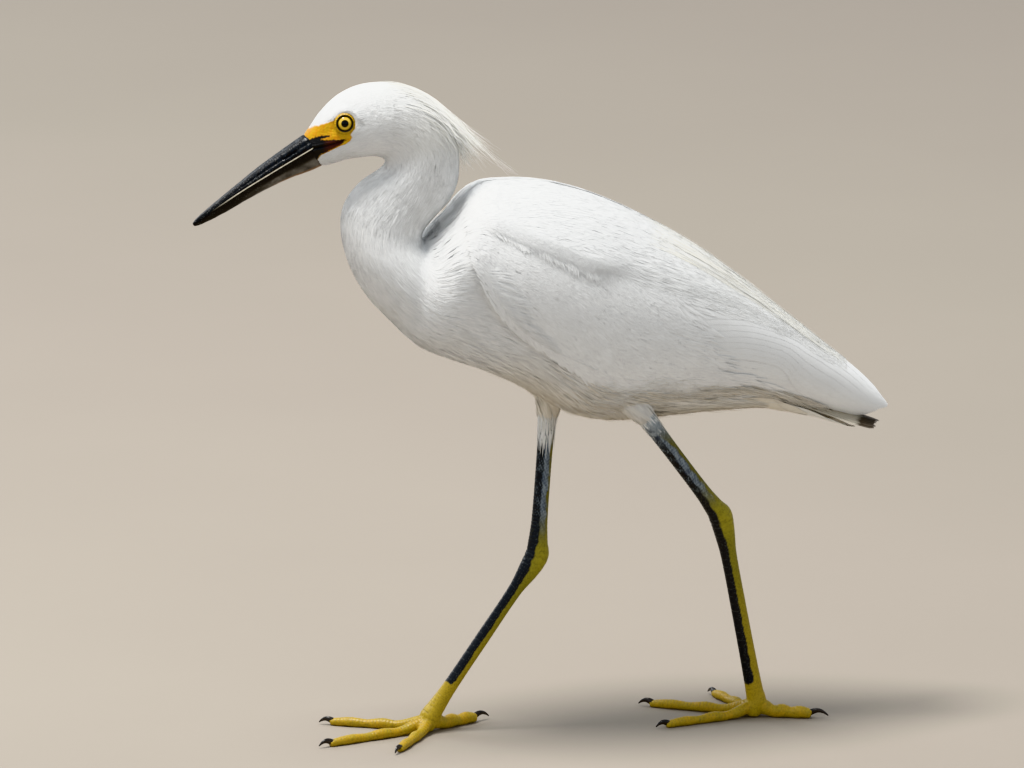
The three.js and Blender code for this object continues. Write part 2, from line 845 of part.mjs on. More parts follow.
function tailSolid() {
  return largest(join([trunkCut(trunkWhole, trunkEnd, 1), ...tailFeathers().map((f) => trunkCut(f, trunkEnd, 1))]));
}

// A tapered lock through points, flattened across its run.
function lock(points, thick, wide) {
  const curve = new THREE.CatmullRomCurve3(points);
  const steps = 4;
  return limb(
    Array.from({ length: steps + 1 }, (_, i) => {
      const t = i / steps;
      const taper = lerp(1, 0.14, t ** 1.6);
      return { at: curve.getPoint(t), deep: thick * taper, wide: wide * taper };
    }),
    4,
  );
}

function eyeAxis(side) {
  return new THREE.Vector3(
    -Math.sin(eyeTurn) * Math.cos(eyeLift),
    side * Math.cos(eyeTurn) * Math.cos(eyeLift),
    Math.sin(eyeLift),
  );
}

function eyeCentre(side) {
  return new THREE.Vector3(eyeAt.x, side * eyeAt.y, eyeAt.z);
}

// A round solid turned from a profile of radius and height about an axis through a point.
function turned(profile, centre, axis, sides) {
  const geometry = new THREE.LatheGeometry(profile.map(([r, h]) => new THREE.Vector2(r, h)), sides);
  const spin = new THREE.Quaternion().setFromUnitVectors(new THREE.Vector3(0, 1, 0), axis);
  geometry.applyQuaternion(spin);
  geometry.translate(centre.x, centre.y, centre.z);
  const made = solidOf(geometry);
  if (made.volume() > 0) return made;
  const index = geometry.index;
  for (let i = 0; i < index.count; i += 3) {
    const held = index.getX(i + 1);
    index.setX(i + 1, index.getX(i + 2));
    index.setX(i + 2, held);
  }
  return solidOf(geometry);
}

function ball(radius, grown) {
  const steps = 7;
  return Array.from({ length: steps + 1 }, (_, i) => {
    const angle = (i / steps) * Math.PI;
    return [i % steps === 0 ? 0 : (radius + grown) * Math.sin(angle), -(radius + grown) * Math.cos(angle)];
  });
}

function eyeSolid(side, grown = 0) {
  return turned(ball(eyeRadius, grown), eyeCentre(side), eyeAxis(side), 12);
}

// The rim of the lids round an eye.
function lidSolid(side) {
  const steps = 5;
  const profile = Array.from({ length: steps + 1 }, (_, i) => {
    const angle = (i / steps) * 2 * Math.PI;
    return [lidRadius + lidThickness * Math.cos(angle), lidDepth + lidThickness * 1.2 * Math.sin(angle)];
  });
  profile[steps] = profile[0];
  return turned(profile, eyeCentre(side), eyeAxis(side), 14);
}

// Clears the eye's opening between the lids.
function lidOpening(side) {
  const radius = lidRadius - lidThickness * 0.7;
  return turned([[0, 1], [radius, 1], [radius + 0.4, 9], [0, 9]], eyeCentre(side), eyeAxis(side), 14);
}

// Half the head's width at a point beside it.
function headSide(x, z) {
  const places = Array.from({ length: headEnd * 10 }, (_, i) => neckRing(i / 10));
  const offset = (r) => new THREE.Vector3(x, 0, z).sub(r.centre);
  const ahead = (r) => Math.abs(offset(r).cross(r.up).y);
  const nearest = places.reduce((best, r) => (ahead(r) < ahead(best) ? r : best));
  const high = offset(nearest).dot(nearest.up) / nearest.tall;
  return nearest.wide * Math.sqrt(Math.max(1 - high * high, 0));
}

// The mouth line on each side of the head, running back from the bill under the eye.
function mouthLines() {
  const slit = (side) =>
    limb(
      [0, 0.35, 0.7, 1].map((t) => {
        const x = lerp(mouthFrom.x, mouthTo.x, t);
        const z = lerp(mouthFrom.z, mouthTo.z, t);
        const tall = mouthHeight * lerp(1, 0.4, t);
        return { at: new THREE.Vector3(x, side * headSide(x, z), z), deep: tall, wide: mouthDepth };
      }),
      slitSides,
    );
  return slit(LEFT).add(slit(RIGHT));
}

// Slender plumes that leave the nape and hang behind it in a fan.
function crestPlumes() {
  return Array.from({ length: crestCount }, (_, i) => {
    const share = rowShare(i, crestCount);
    const at = lerp(5.8, 8.2, share);
    const nape = neckRing(at);
    const onward = neckRing(at + 0.5).centre.sub(nape.centre).normalize();
    const root = nape.centre.clone().addScaledVector(nape.up, nape.tall - 3);
    const sideways = (i % 3) - 1;
    root.y = sideways * 3.2;
    const out = root.clone().addScaledVector(onward, 12).addScaledVector(nape.up, 4.6);
    const tip = new THREE.Vector3(lerp(-9, -37, share), sideways * 3.6, lerp(313.5, 317, share));
    const middle = out.clone().lerp(tip, 0.5).add(new THREE.Vector3(2, 0, 1));
    return lock([root, out, middle, tip], 0.75, crestWidth);
  });
}

function headSolid() {
  let made = neckCut(wholeNeck, headEnd, -1).subtract(mouthLines());
  for (const side of [LEFT, RIGHT]) made = made.add(lidSolid(side));
  for (const side of [LEFT, RIGHT]) made = made.subtract(eyeSolid(side, gap)).subtract(lidOpening(side));
  return largest(join([made, ...crestPlumes()]));
}

const trunkWhole = trunkLoft(0);
const trunkGrown = trunkLoft(gap);
const wholeNeck = neckLoft(0, neckSections.length - 1, 1.3);
const breast = neckCut(wholeNeck, neckEnd, 1);
const trunk = largest(join([trunkCut(trunkWhole, trunkEnd, -1), breast]));
const neckGrown = neckLoft(0, neckSections.length - 1, 1.3, gap);

addNode("trunk", trunk, plumage);
addNode("mantle", mantleSolid(), plumage);
addNode("tail", tailSolid(), plumage);
for (const [name, side] of [["left", LEFT], ["right", RIGHT]]) {
  addNode(`wing_${name}`, wingSolid(side), plumage);
  addNode(`eye_${name}`, eyeSolid(side), iris);
}
addNode("head", headSolid(), plumage);
addNode("neck_upper", neckCut(neckCut(wholeNeck, headEnd, 1), neckMiddle, -1), plumage);
addNode(
  "neck_lower",
  largest(neckCut(neckCut(wholeNeck, neckMiddle, 1), neckEnd, -1).subtract(trunkGrown)),
  plumage,
);
addNode("bill_upper", billHalf(1).subtract(nostrils()), horn);
addNode("bill_lower", billHalf(-1), horn);
for (const leg of legs) {
  for (const [name, [solid, material]] of Object.entries(legNodes(leg, trunkGrown))) addNode(name, solid, material);
}

export default egret;
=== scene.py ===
import math

import bmesh
import bpy
import numpy as np
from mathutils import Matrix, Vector
from mathutils.bvhtree import BVHTree


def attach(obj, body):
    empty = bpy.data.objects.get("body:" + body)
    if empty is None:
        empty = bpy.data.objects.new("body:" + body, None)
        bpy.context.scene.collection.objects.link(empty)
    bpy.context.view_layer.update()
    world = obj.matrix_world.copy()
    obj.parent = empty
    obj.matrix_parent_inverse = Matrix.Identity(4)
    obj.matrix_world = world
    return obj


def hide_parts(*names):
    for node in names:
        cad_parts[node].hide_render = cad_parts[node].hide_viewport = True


# A snowy egret in mid stride. Sizes below are in millimetres, in the frame of the solids.
# The bird faces -X and its left side is towards -Y.
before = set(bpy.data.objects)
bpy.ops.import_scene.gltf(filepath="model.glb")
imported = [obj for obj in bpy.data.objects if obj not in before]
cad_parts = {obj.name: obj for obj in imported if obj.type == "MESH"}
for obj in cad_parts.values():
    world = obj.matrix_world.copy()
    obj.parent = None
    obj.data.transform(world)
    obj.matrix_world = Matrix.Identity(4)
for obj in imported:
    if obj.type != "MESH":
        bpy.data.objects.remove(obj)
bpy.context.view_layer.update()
rng = np.random.default_rng(20)

# One millimetre in metres, and one metre in millimetres.
MM = 0.001
METRE = 1000
LEFT = -1
RIGHT = 1
SIDES = (("left", LEFT), ("right", RIGHT))
ACROSS = np.array([0.0, 1.0, 0.0])

# Trunk without wings: distance along its axis, height of the back and of the belly, half width.
TRUNK = [
    [0, 15, -7, 9], [3, 21.5, -16, 18], [8, 31, -23, 26.5], [15, 46, -27, 33], [25, 61.5, -30, 38],
    [40, 68.5, -31.5, 38], [60, 70.5, -32.5, 39], [80, 71.5, -35.5, 40], [100, 70, -40.5, 39.5],
    [120, 66.5, -43.5, 37.5], [140, 61.5, -40.5, 34], [160, 55, -33.5, 29.5], [180, 47, -26, 24],
    [200, 37, -19, 18.5], [220, 26, -12.8, 13.5], [240, 12, -10.2, 9.5], [252, 1, -9.4, 6],
    [264, -5.4, -8.2, 1.5],
]
SLOPE = math.radians(18)
TRUNK_FRONT = np.array([-80.0, 0.0, 255.0])
TRUNK_ALONG = np.array([math.cos(SLOPE), 0, -math.sin(SLOPE)])
TRUNK_UP = np.array([math.sin(SLOPE), 0, math.cos(SLOPE)])
TRUNK_FULLNESS = 1.08

# Outer face of the closed wings, in the same columns.
WING = [
    [12, 45, -28, 32.5], [25, 64, -30, 40.2], [40, 71.2, -31.5, 42.5], [60, 75.8, -32.5, 45],
    [80, 76.8, -35.5, 46], [100, 75.2, -40.5, 46], [120, 72.2, -43, 44.5], [140, 68, -38, 41.5],
    [160, 62.2, -29.5, 37.5], [180, 54.8, -21, 32.5], [200, 47.2, -13, 27], [220, 39.2, -8.5, 21.5],
    [240, 31, -6.5, 16.5], [260, 23, -5.4, 12], [276, 15.5, -4.2, 8.5], [290, 8, -1, 5],
]
# Front edge of the closed wing: angle round the body from the middle of the back, distance along the trunk.
WING_FRONT = [[2, 16], [40, 18], [62, 21], [81, 28], [103, 45], [112, 58], [118, 76], [121, 98]]
# Half the spread of the back and shoulder feathers over the wings: distance along the trunk, angle.
SCAPULAR = [
    [10, 22], [18, 40], [28, 53], [36, 57], [50, 63], [60, 65.5], [75, 67.5], [90, 68], [99, 65],
    [110, 62.5], [125, 62], [145, 61], [165, 55], [180, 50.5], [200, 50], [214, 50], [228, 40],
    [240, 26], [250, 12],
]
SCAPULAR_END = 250
# Millimetres round the wings' face for each degree of angle.
MM_PER_DEGREE = 0.78
# Panel of the closed outer feathers: distance along the trunk, angle of its upper and of its lower feather.
PANEL = [
    [90, 90, 108], [150, 70, 98], [200, 42, 84], [218, 30, 84], [228, 22, 102], [238, 15, 116],
    [250, 10, 126], [260, 11, 135], [268, 18, 135], [276, 33, 118], [283, 47, 90], [288, 54, 76],
]
# Tips of the panel's feathers, from the lowest up: share of their row, distance along the trunk.
PANEL_TIPS = [[0, 280], [0.3, 284], [0.6, 285.5], [0.85, 284.5], [1, 281]]
# Tips of the inner flight feathers from the lowest up: share of their row, distance along the trunk, angle.
SECONDARY_TIPS = [
    [0, 246, 128], [0.1, 238, 124], [0.25, 229, 108], [0.4, 222, 92], [0.55, 218, 79], [0.75, 215, 62],
    [1, 216, 40],
]

# Head and neck by section, from the bill to the back: x and z of the crown and nape side, x and z of the
# chin and throat side, half width.
NECK = [
    [0, -132.2, 342.8, -121.4, 324.9, 6.9], [1, -128.2, 348, -118, 325.6, 9.2],
    [2, -122, 356, -113.5, 326.8, 11.8], [3, -112.5, 364.3, -106, 328.6, 14],
    [4, -100.5, 369.3, -99, 328.8, 15.4], [5, -87.5, 370.2, -92.8, 328.9, 15.8],
    [6, -74.1, 367, -88.8, 327.8, 15.6], [7, -62.2, 360.4, -87, 326.2, 15.4],
    [8, -52.2, 351, -86.6, 324.2, 15.4], [9, -46.4, 338.4, -87.6, 321.9, 15.6],
    [10, -45.4, 324.5, -91.6, 318.6, 16.4], [11, -46.4, 312, -99.4, 314.6, 17.2],
    [12, -51, 302.4, -106.6, 307.4, 18.2], [13, -59, 294.4, -111.2, 298, 19.6],
    [14, -66.5, 284.5, -111.4, 285, 21.6], [15, -63.5, 277, -107.4, 268.5, 25.2],
    [16, -55, 270, -99, 252, 27.6], [17, -45, 262.5, -88, 239, 28.6], [18, -34, 256.5, -74, 225.6, 27.6],
    [19, -22, 250, -56, 215.6, 23], [20, -8, 245, -38, 210.6, 15],
]
NECK_END = 20
# Bill: distance from its root, depth above the mouth line, depth below it, half width.
BILL = [
    [0, 10, 10, 6.7], [8, 9.6, 8.8, 6.1], [18, 9, 6.5, 5.5], [30, 8.1, 4.9, 4.9], [44, 6.3, 3.9, 4],
    [58, 4.4, 3.5, 3.1], [70, 2.7, 2.5, 2.1], [75.5, 1.5, 1.5, 1.3], [77, 0.7, 0.7, 0.7],
]
BILL_LENGTH = 77
# How far the mouth line lies above the middle of the bill, by distance from its root.
GAPE = [[0, 2.6], [40, 2.5], [58, 1.7], [70, 0.6], [77, 0]]
BILL_ROOT = np.array([-127.0, 0.0, 334.0])
BILL_SLOPE = math.radians(30)
BILL_ALONG = np.array([-math.cos(BILL_SLOPE), 0, -math.sin(BILL_SLOPE)])
BILL_UP = np.array([-math.sin(BILL_SLOPE), 0, math.cos(BILL_SLOPE)])

# Eyes: centre, radius, and how far each looks ahead and up.
EYE = np.array([-111.1, 8.6, 350.5])
EYE_RADIUS = 5.6
EYE_TURN = math.radians(10)
EYE_LIFT = math.radians(11)

# Legs: the points where each bends, its toes with turn in degrees, length and length of the claw, the radius
# of its tarsus, how far its black front runs down from the heel, and the share of its thigh with feathers.
LEGS = {
    "left": {
        "knee": [20, -15, 226], "hem": [56.3, -21.5, 176], "heel": [99, -12, 117], "ankle": [120.6, -3.5, 9],
        "toes": [
            ("inner", -72, 47, 5.5), ("middle", -30, 62, 6), ("outer", 14, 56, 5.5), ("hind", 160, 31, 9),
        ],
        "tarsus": 4.3, "black": 100, "cuff": 0.93,
    },
    "right": {
        "knee": [13, 15, 228], "hem": [8, 18, 177], "heel": [0, 10, 93.5], "ankle": [-61.4, 3.5, 8.5],
        "toes": [
            ("inner", 57, 47, 5.5), ("middle", 18, 64, 6), ("outer", -25, 57, 5.5), ("hind", 206, 32, 9),
        ],
        "tarsus": 3.8, "black": 85, "cuff": 1.08,
    },
}

# Linear colours of the feathers.
WHITE = np.array([0.88, 0.885, 0.88])
CREAM = np.array([0.84, 0.80, 0.66])
# Painted shade, for feathers under the body and others that lie in shadow.
SHADE = np.array([0.80, 0.73, 0.60])
TAIL_TIP_BROWN = np.array([0.075, 0.055, 0.038])
# Bare skin of the face.
YELLOW = np.array([0.72, 0.42, 0.018])
ORANGE = np.array([0.72, 0.31, 0.014])
EYE_RING_OLIVE = np.array([0.50, 0.33, 0.02])
CHIN_BROWN = np.array([0.30, 0.19, 0.06])
# Dark red skin of the gape, darkened as painted shadow inside it.
MOUTH_RED = np.array([0.055, 0.009, 0.005])
# Bill and claws.
BLACK = np.array([0.005, 0.005, 0.006])
# Painted sheen: bluish mottling over the black horn of the upper half.
PAINTED_BLUE_SHEEN = np.array([0.010, 0.014, 0.021])
HORN_EDGE_PALE = np.array([0.93, 0.86, 0.70])
# Pale grey painted highlights, speckled over the black horn.
UPPER_PAINTED_GLINT = np.array([0.30, 0.31, 0.30])
LOWER_PAINTED_GLINT = np.array([0.26, 0.26, 0.25])
WORN_DARK = np.array([0.07, 0.065, 0.06])
WORN_GREY = np.array([0.24, 0.22, 0.19])
WORN_BROWN = np.array([0.26, 0.13, 0.05])
CLAW_BLACK = np.array([0.012, 0.011, 0.011])
CLAW_BROWN = np.array([0.07, 0.055, 0.045])
# Eyes and lids.
PUPIL = np.array([0.004, 0.004, 0.004])
IRIS = np.array([0.68, 0.44, 0.04])
IRIS_RAY = np.array([0.84, 0.60, 0.12])
IRIS_RIM = np.array([0.45, 0.26, 0.02])
EYE_MARGIN = np.array([0.008, 0.006, 0.004])
LID_OLIVE = np.array([0.42, 0.29, 0.02])
LID_MARGIN = np.array([0.012, 0.009, 0.006])
# Legs and toes.
LEG_OLIVE = np.array([0.24, 0.21, 0.025])
LEG_GOLD = np.array([0.44, 0.31, 0.028])
HEEL_GOLD = np.array([0.42, 0.35, 0.035])
LEG_BLUE = np.array([0.36, 0.42, 0.46])
LEG_INK = np.array([0.008, 0.010, 0.014])
LEG_GROOVE = np.array([0.085, 0.09, 0.09])
TOE_ORANGE = np.array([0.50, 0.31, 0.024])
TOE_OLIVE = np.array([0.27, 0.20, 0.035])
SOLE_BROWN = np.array([0.2, 0.14, 0.06])


def lerp(a, b, t):
    return a + (b - a) * t


def blend(a, b, t):
    """Mix of colours or directions, by one share for each of them."""
    return lerp(a, b, np.asarray(t)[..., None])


def smooth(x):
    x = np.clip(x, 0, 1)
    return x * x * (3 - 2 * x)


def bell(x, width):
    return np.exp(-((x / width) ** 2))


def full_turn(count):
    """Angles spaced evenly once round."""
    return np.linspace(0, math.tau, count, endpoint=False)


def shares(count):
    """Evenly spaced shares from 0 to 1."""
    return [i / (count - 1) for i in range(count)]


def unit(v):
    return v / np.maximum(np.linalg.norm(v, axis=-1, keepdims=True), 1e-9)


def along(table, at):
    """Smooth values of a table's columns between its rows, which are placed by their first column."""
    t = np.asarray(table, float)
    x = np.clip(np.asarray(at, float), t[0, 0], t[-1, 0])[..., None]
    i = np.clip(np.searchsorted(t[:, 0], x[..., 0]) - 1, 0, len(t) - 2)
    a, b, c, d = t[np.maximum(i - 1, 0)], t[i], t[i + 1], t[np.minimum(i + 2, len(t) - 1)]
    span = c[..., :1] - b[..., :1]
    s = (x - b[..., :1]) / span
    slope_in = (c[..., 1:] - a[..., 1:]) / (c[..., :1] - a[..., :1]) * span
    slope_out = (d[..., 1:] - b[..., 1:]) / (d[..., :1] - b[..., :1]) * span
    s2, s3 = s * s, s * s * s
    return (
        b[..., 1:] * (2 * s3 - 3 * s2 + 1)
        + slope_in * (s3 - 2 * s2 + s)
        + c[..., 1:] * (3 * s2 - 2 * s3)
        + slope_out * (s3 - s2)
    )


def column(table, at):
    return along(table, at)[..., 0]


def rough_noise(points, size, seed=0):
    """Smooth noise from about -1 to 1 at each point, with bumps of about the given size."""
    waves = np.random.default_rng(seed)
    total = np.zeros(points.shape[:-1])
    for octave in range(3):
        for _ in range(4):
            direction = unit(waves.normal(size=3)) * (math.tau / size) * 1.9**octave
            total += np.sin(points @ direction + waves.uniform(0, math.tau)) / 1.8**octave
    return total / 4


def power(x, fullness):
    return np.sign(x) * np.abs(x) ** (1 / fullness)


def trunk_point(u, v, y):
    u, v, y = np.broadcast_arrays(np.asarray(u, float), v, y)
    p = TRUNK_FRONT + u[..., None] * TRUNK_ALONG + v[..., None] * TRUNK_UP
    p[..., 1] = y
    return p


def trunk_surface(u, turn, grown=0.0):
    back, belly, wide = np.moveaxis(along(TRUNK, u), -1, 0)
    tall = np.maximum((back - belly) / 2 + grown, 0.3)
    v = (back + belly) / 2 + tall * power(np.cos(turn), TRUNK_FULLNESS)
    return trunk_point(u, v, np.maximum(wide + grown, 0.3) * power(np.sin(turn), TRUNK_FULLNESS))


def trunk_coords(points, table=TRUNK):
    """Distance along the trunk and angle round it from the back, signed by side."""
    d = points - TRUNK_FRONT
    u = d @ TRUNK_ALONG
    v = d @ TRUNK_UP
    back, belly, wide = np.moveaxis(along(table, u), -1, 0)
    return u, np.arctan2(points[..., 1] / wide, (v - (back + belly) / 2) / ((back - belly) / 2))


def wing_point(u, angle, height, side):
    """A point over the closed wings: angle in degrees from the back, height over their outer face."""
    u, angle, height = np.broadcast_arrays(*(np.asarray(value, float) for value in (u, angle, height)))

    def bare(at, degrees):
        back, belly, wide = np.moveaxis(along(WING, at), -1, 0)
        turn = np.radians(degrees)
        return trunk_point(at, (back + belly) / 2 + (back - belly) / 2 * np.cos(turn), wide * np.sin(turn))

    onward = bare(u + 1, angle) - bare(u - 1, angle)
    around = bare(u, angle + 1) - bare(u, angle - 1)
    p = bare(u, angle) + unit(np.cross(onward, around)) * height[..., None]
    p[..., 1] *= side
    return p


def neck_ring(at):
    bx, bz, fx, fz, wide = np.moveaxis(along(NECK, at), -1, 0)
    zero = np.zeros_like(bx)
    back = np.stack([bx, zero, bz], -1)
    front = np.stack([fx, zero, fz], -1)
    return (back + front) / 2, unit(back - front), np.linalg.norm(back - front, axis=-1) / 2, wide


def neck_surface(at, turn, grown=0.0):
    centre, up, tall, wide = neck_ring(at)
    high = (tall + grown) * np.cos(turn)
    return centre + high[..., None] * up + ((wide + grown) * np.sin(turn))[..., None] * ACROSS


def neck_coords(points, places=np.arange(0, 20.01, 0.1)):
    """Nearest section of the neck, angle from the nape signed by side, and distance from its surface."""
    centre, up, tall, wide = neck_ring(places)
    ahead = np.cross(ACROSS, up)
    found = []
    for part in np.array_split(points, max(1, len(points) // 8000)):
        offset = part[:, None] - centre
        past = (offset * ahead).sum(-1)
        high = (offset * up).sum(-1) / tall
        aside = offset[..., 1] / wide
        clear = (np.hypot(high, aside) - 1) * np.minimum(tall, wide)
        i = (past**2 + clear**2).argmin(1)
        k = np.arange(len(part))
        found.append(np.stack([places[i], np.arctan2(aside[k, i], high[k, i]), clear[k, i]]))
    return np.concatenate(found, 1)


# Places on the map OFBake: half of it for the neck, half for the trunk, and one place for each large feather.
NECK_MAP = 0.02
TRUNK_MAP = 0.52
TRUNK_MAP_LENGTH = 270
WING_MAP_SIZE = 300
# Width and length of the patch of one small feather or one plume.
PATCH = (0.0015, 0.003)


def body_uv(share, turn, start):
    return np.stack([share * 0.46 + start, 0.5 + turn / math.tau * 0.94], -1)


def wing_uv(u, angle, side):
    return np.stack([u / WING_MAP_SIZE, 0.5 + side * angle / WING_MAP_SIZE], -1)


def map_patch(across, share):
    """Small patch of the map for one tuft or feather: across it from -1 to 1, along it from 0 to 1."""
    return np.stack(np.broadcast_arrays(across * PATCH[0], (share - 0.5) * PATCH[1]), -1)


# Meshes.


def ring_quads(count, sides):
    """Quads that join rings of equally many points, each to the next."""
    k = np.arange(sides)
    onward = (k + 1) % sides
    start = (np.arange(count - 1) * sides)[:, None]
    return np.stack([start + k, start + onward, start + onward + sides, start + k + sides], -1).reshape(-1, 4)


def blade_quads(count, stations, columns):
    """Quads of many separate strips, each with so many stations along it and columns across."""
    base = (np.arange(count) * stations * columns)[:, None, None]
    first = base + (np.arange(stations - 1) * columns)[:, None] + np.arange(columns - 1)
    return np.stack([first, first + columns, first + 1 + columns, first + 1], -1).reshape(-1, 4)


def loft(rings):
    """Points and faces of a closed surface through rings of equally many points, with a fan at each end."""
    count, sides = rings.shape[:2]
    k = np.arange(sides)
    onward = (k + 1) % sides
    points = np.concatenate([rings.reshape(-1, 3), rings[:1].mean(1), rings[-1:].mean(1)])
    end = (count - 1) * sides
    start_cap = np.stack([np.full(sides, len(points) - 2), onward, k], -1)
    end_cap = np.stack([np.full(sides, len(points) - 1), end + k, end + onward], -1)
    faces = ring_quads(count, sides).tolist() + start_cap.tolist() + end_cap.tolist()
    return points, [tuple(face) for face in faces]


def sheet_rings(top, bottom):
    """Rings of a closed sheet between two grids of points with the same rows and columns."""
    return np.concatenate([top, bottom[:, ::-1]], 1)


def linked(name, data):
    made = bpy.data.objects.new(name, data)
    bpy.context.scene.collection.objects.link(made)
    return made


def new_object(name, points, faces):
    mesh = bpy.data.meshes.new(name)
    mesh.from_pydata((np.asarray(points) * MM).tolist(), [], faces)
    return linked(name, mesh)


def quad_object(name, points, quads):
    """A mesh of quads from arrays, which is quicker than new_object for large ones."""
    mesh = bpy.data.meshes.new(name)
    mesh.vertices.add(len(points))
    mesh.vertices.foreach_set("co", (points * MM).astype(np.float32).ravel())
    mesh.loops.add(quads.size)
    mesh.loops.foreach_set("vertex_index", quads.astype(np.int32).ravel())
    mesh.polygons.add(len(quads))
    mesh.polygons.foreach_set("loop_start", np.arange(0, quads.size, 4, dtype=np.int32))
    mesh.update(calc_edges=True)
    return linked(name, mesh)


def read_vectors(items, key):
    """A vector of each point or face of a mesh, as rows of an array."""
    values = np.empty(len(items) * 3, np.float32)
    items.foreach_get(key, values)
    return values.reshape(-1, 3).astype(float)


def read_values(items, key, kind=np.int32):
    values = np.empty(len(items), kind)
    items.foreach_get(key, values)
    return values


def positions(obj):
    return read_vectors(obj.data.vertices, "co") * METRE


def set_positions(obj, points):
    obj.data.vertices.foreach_set("co", (points * MM).astype(np.float32).ravel())
    obj.data.update()


def shade_smooth(obj):
    obj.data.polygons.foreach_set("use_smooth", np.ones(len(obj.data.polygons), bool))
    obj.data.update()


def face_outwards(obj):
    """Turns all faces of a closed mesh outwards and shades them smooth."""
    edit = bmesh.new()
    edit.from_mesh(obj.data)
    bmesh.ops.recalc_face_normals(edit, faces=edit.faces)
    edit.to_mesh(obj.data)
    edit.free()
    shade_smooth(obj)


def set_tint(obj, colours):
    """Keeps a colour for each vertex, which the materials read."""
    layer = obj.data.color_attributes.new("tint", "FLOAT_COLOR", "POINT")
    rgba = np.ones((len(obj.data.vertices), 4), np.float32)
    rgba[:, :3] = np.clip(colours, 0, 1)
    layer.data.foreach_set("color", rgba.ravel())


def set_normals(obj, normals):
    obj.data.normals_split_custom_set_from_vertices(normals.reshape(-1, 3).tolist())


def set_uv(obj, name, per_vertex):
    layer = obj.data.uv_layers.new(name=name)
    corners = read_values(obj.data.loops, "vertex_index")
    layer.data.foreach_set("uv", per_vertex[corners].astype(np.float32).ravel())


def remeshed(name, parts, voxel, smoothing):
    """One closed skin round several overlapping closed forms."""
    points, faces, shift = [], [], 0
    for part_points, part_faces in parts:
        points.append(part_points)
        faces += [tuple(i + shift for i in face) for face in part_faces]
        shift += len(part_points)
    rough = new_object(name + "_rough", np.concatenate(points), faces)
    fuse = rough.modifiers.new("fuse", "REMESH")
    fuse.mode = "VOXEL"
    fuse.voxel_size = voxel * MM
    soften = rough.modifiers.new("soften", "SMOOTH")
    soften.factor = 0.5
    soften.iterations = smoothing
    mesh = bpy.data.meshes.new_from_object(rough.evaluated_get(bpy.context.evaluated_depsgraph_get()))
    bpy.data.objects.remove(rough)
    made = linked(name, mesh)
    shade_smooth(made)
    return made


# Materials.


def new_node(material, kind, **values):
    """A shader node with constants on some of its sockets."""
    made = material.node_tree.nodes.new(f"ShaderNode{kind}")
    for socket, value in values.items():
        made.inputs[socket.replace("_", " ")].default_value = value
    return made


def add_relief(material, vector, scale, height, detail):
    """Fine bumps: size of the noise per metre and height in metres."""
    link = material.node_tree.links.new
    fine = new_node(material, "TexNoise", Scale=scale, Detail=detail)
    relief = new_node(material, "Bump", Strength=1, Distance=height)
    link(vector, fine.inputs["Vector"])
    link(fine.outputs["Fac"], relief.inputs["Height"])
    link(relief.outputs["Normal"], material.node_tree.nodes["Principled BSDF"].inputs["Normal"])


def new_material(name, roughness, mottle, bump=None, colour=None, **sockets):
    """Principled shader in the piece's tint, or in one colour. mottle is (least, most, size per metre)."""
    material = bpy.data.materials.new(name)
    material.use_nodes = True
    link = material.node_tree.links.new
    shader = material.node_tree.nodes["Principled BSDF"]
    shader.inputs["Roughness"].default_value = roughness
    for socket, value in sockets.items():
        shader.inputs[socket.replace("_", " ")].default_value = value
    place = new_node(material, "TexCoord")
    noise = new_node(material, "TexNoise", Scale=mottle[2], Detail=4)
    link(place.outputs["Object"], noise.inputs["Vector"])
    spread = new_node(material, "MapRange", From_Min=0.3, From_Max=0.7, To_Min=mottle[0], To_Max=mottle[1])
    link(noise.outputs["Fac"], spread.inputs["Value"])
    mix = new_node(material, "Mix")
    mix.data_type = "RGBA"
    mix.blend_type = "MULTIPLY"
    mix.inputs[0].default_value = 1
    if colour:
        mix.inputs[6].default_value = (*colour, 1)
    else:
        tint = new_node(material, "VertexColor")
        tint.layer_name = "tint"
        link(tint.outputs["Color"], mix.inputs[6])
    link(spread.outputs["Result"], mix.inputs[7])
    link(mix.outputs[2], shader.inputs["Base Color"])
    if bump:
        add_relief(material, place.outputs["Object"], *bump, 3)
    return material


def vane_barbs(material):
    """Fine barbs that slant back from the shaft of a feather, from the map Barbs."""
    link = material.node_tree.links.new
    barbs = new_node(material, "UVMap")
    barbs.uv_map = "Barbs"
    apart = new_node(material, "SeparateXYZ")
    link(barbs.outputs["UV"], apart.inputs["Vector"])
    away = new_node(material, "Math")
    away.operation = "ABSOLUTE"
    link(apart.outputs["X"], away.inputs[0])
    slant = new_node(material, "Math")
    slant.operation = "MULTIPLY_ADD"
    slant.inputs[1].default_value = -1.3
    link(away.outputs[0], slant.inputs[0])
    link(apart.outputs["Y"], slant.inputs[2])
    line = new_node(material, "CombineXYZ")
    link(slant.outputs[0], line.inputs["X"])
    add_relief(material, line.outputs["Vector"], 220, 0.00008, 2)


feather_material = new_material("plumage", 0.75, (0.97, 1.02, 90), bump=(1500, 0.00005))
skin_material = new_material("skin", 0.6, (0.92, 1.03, 300), bump=(900, 0.00012))
vane_material = new_material("vanes", 0.62, (0.97, 1.02, 90))
vane_barbs(vane_material)
horn_material = new_material("horn", 0.36, (0.8, 1.2, 500), bump=(1500, 0.00007), Specular_IOR_Level=0.4)
eye_material = new_material(
    "eye", 0.1, (0.95, 1.05, 900), Coat_Weight=0.3, Coat_Roughness=0.02, Specular_IOR_Level=0.3
)
lid_material = new_material("lid", 0.42, (0.9, 1.06, 900), bump=(1800, 0.00008))
leg_material = new_material("scales", 0.42, (0.86, 1.1, 700), bump=(1600, 0.0001))
claw_material = new_material(
    "claw", 0.25, (0.85, 1.2, 600), bump=(900, 0.00006), Coat_Weight=0.2, Coat_Roughness=0.2
)


def dress(obj, material, slot, *replaced):
    obj.data.materials.clear()
    obj.data.materials.append(material)
    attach(obj, "root")
    if replaced:
        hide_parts(*replaced)


# Limbs: thighs, legs, toes and claws.


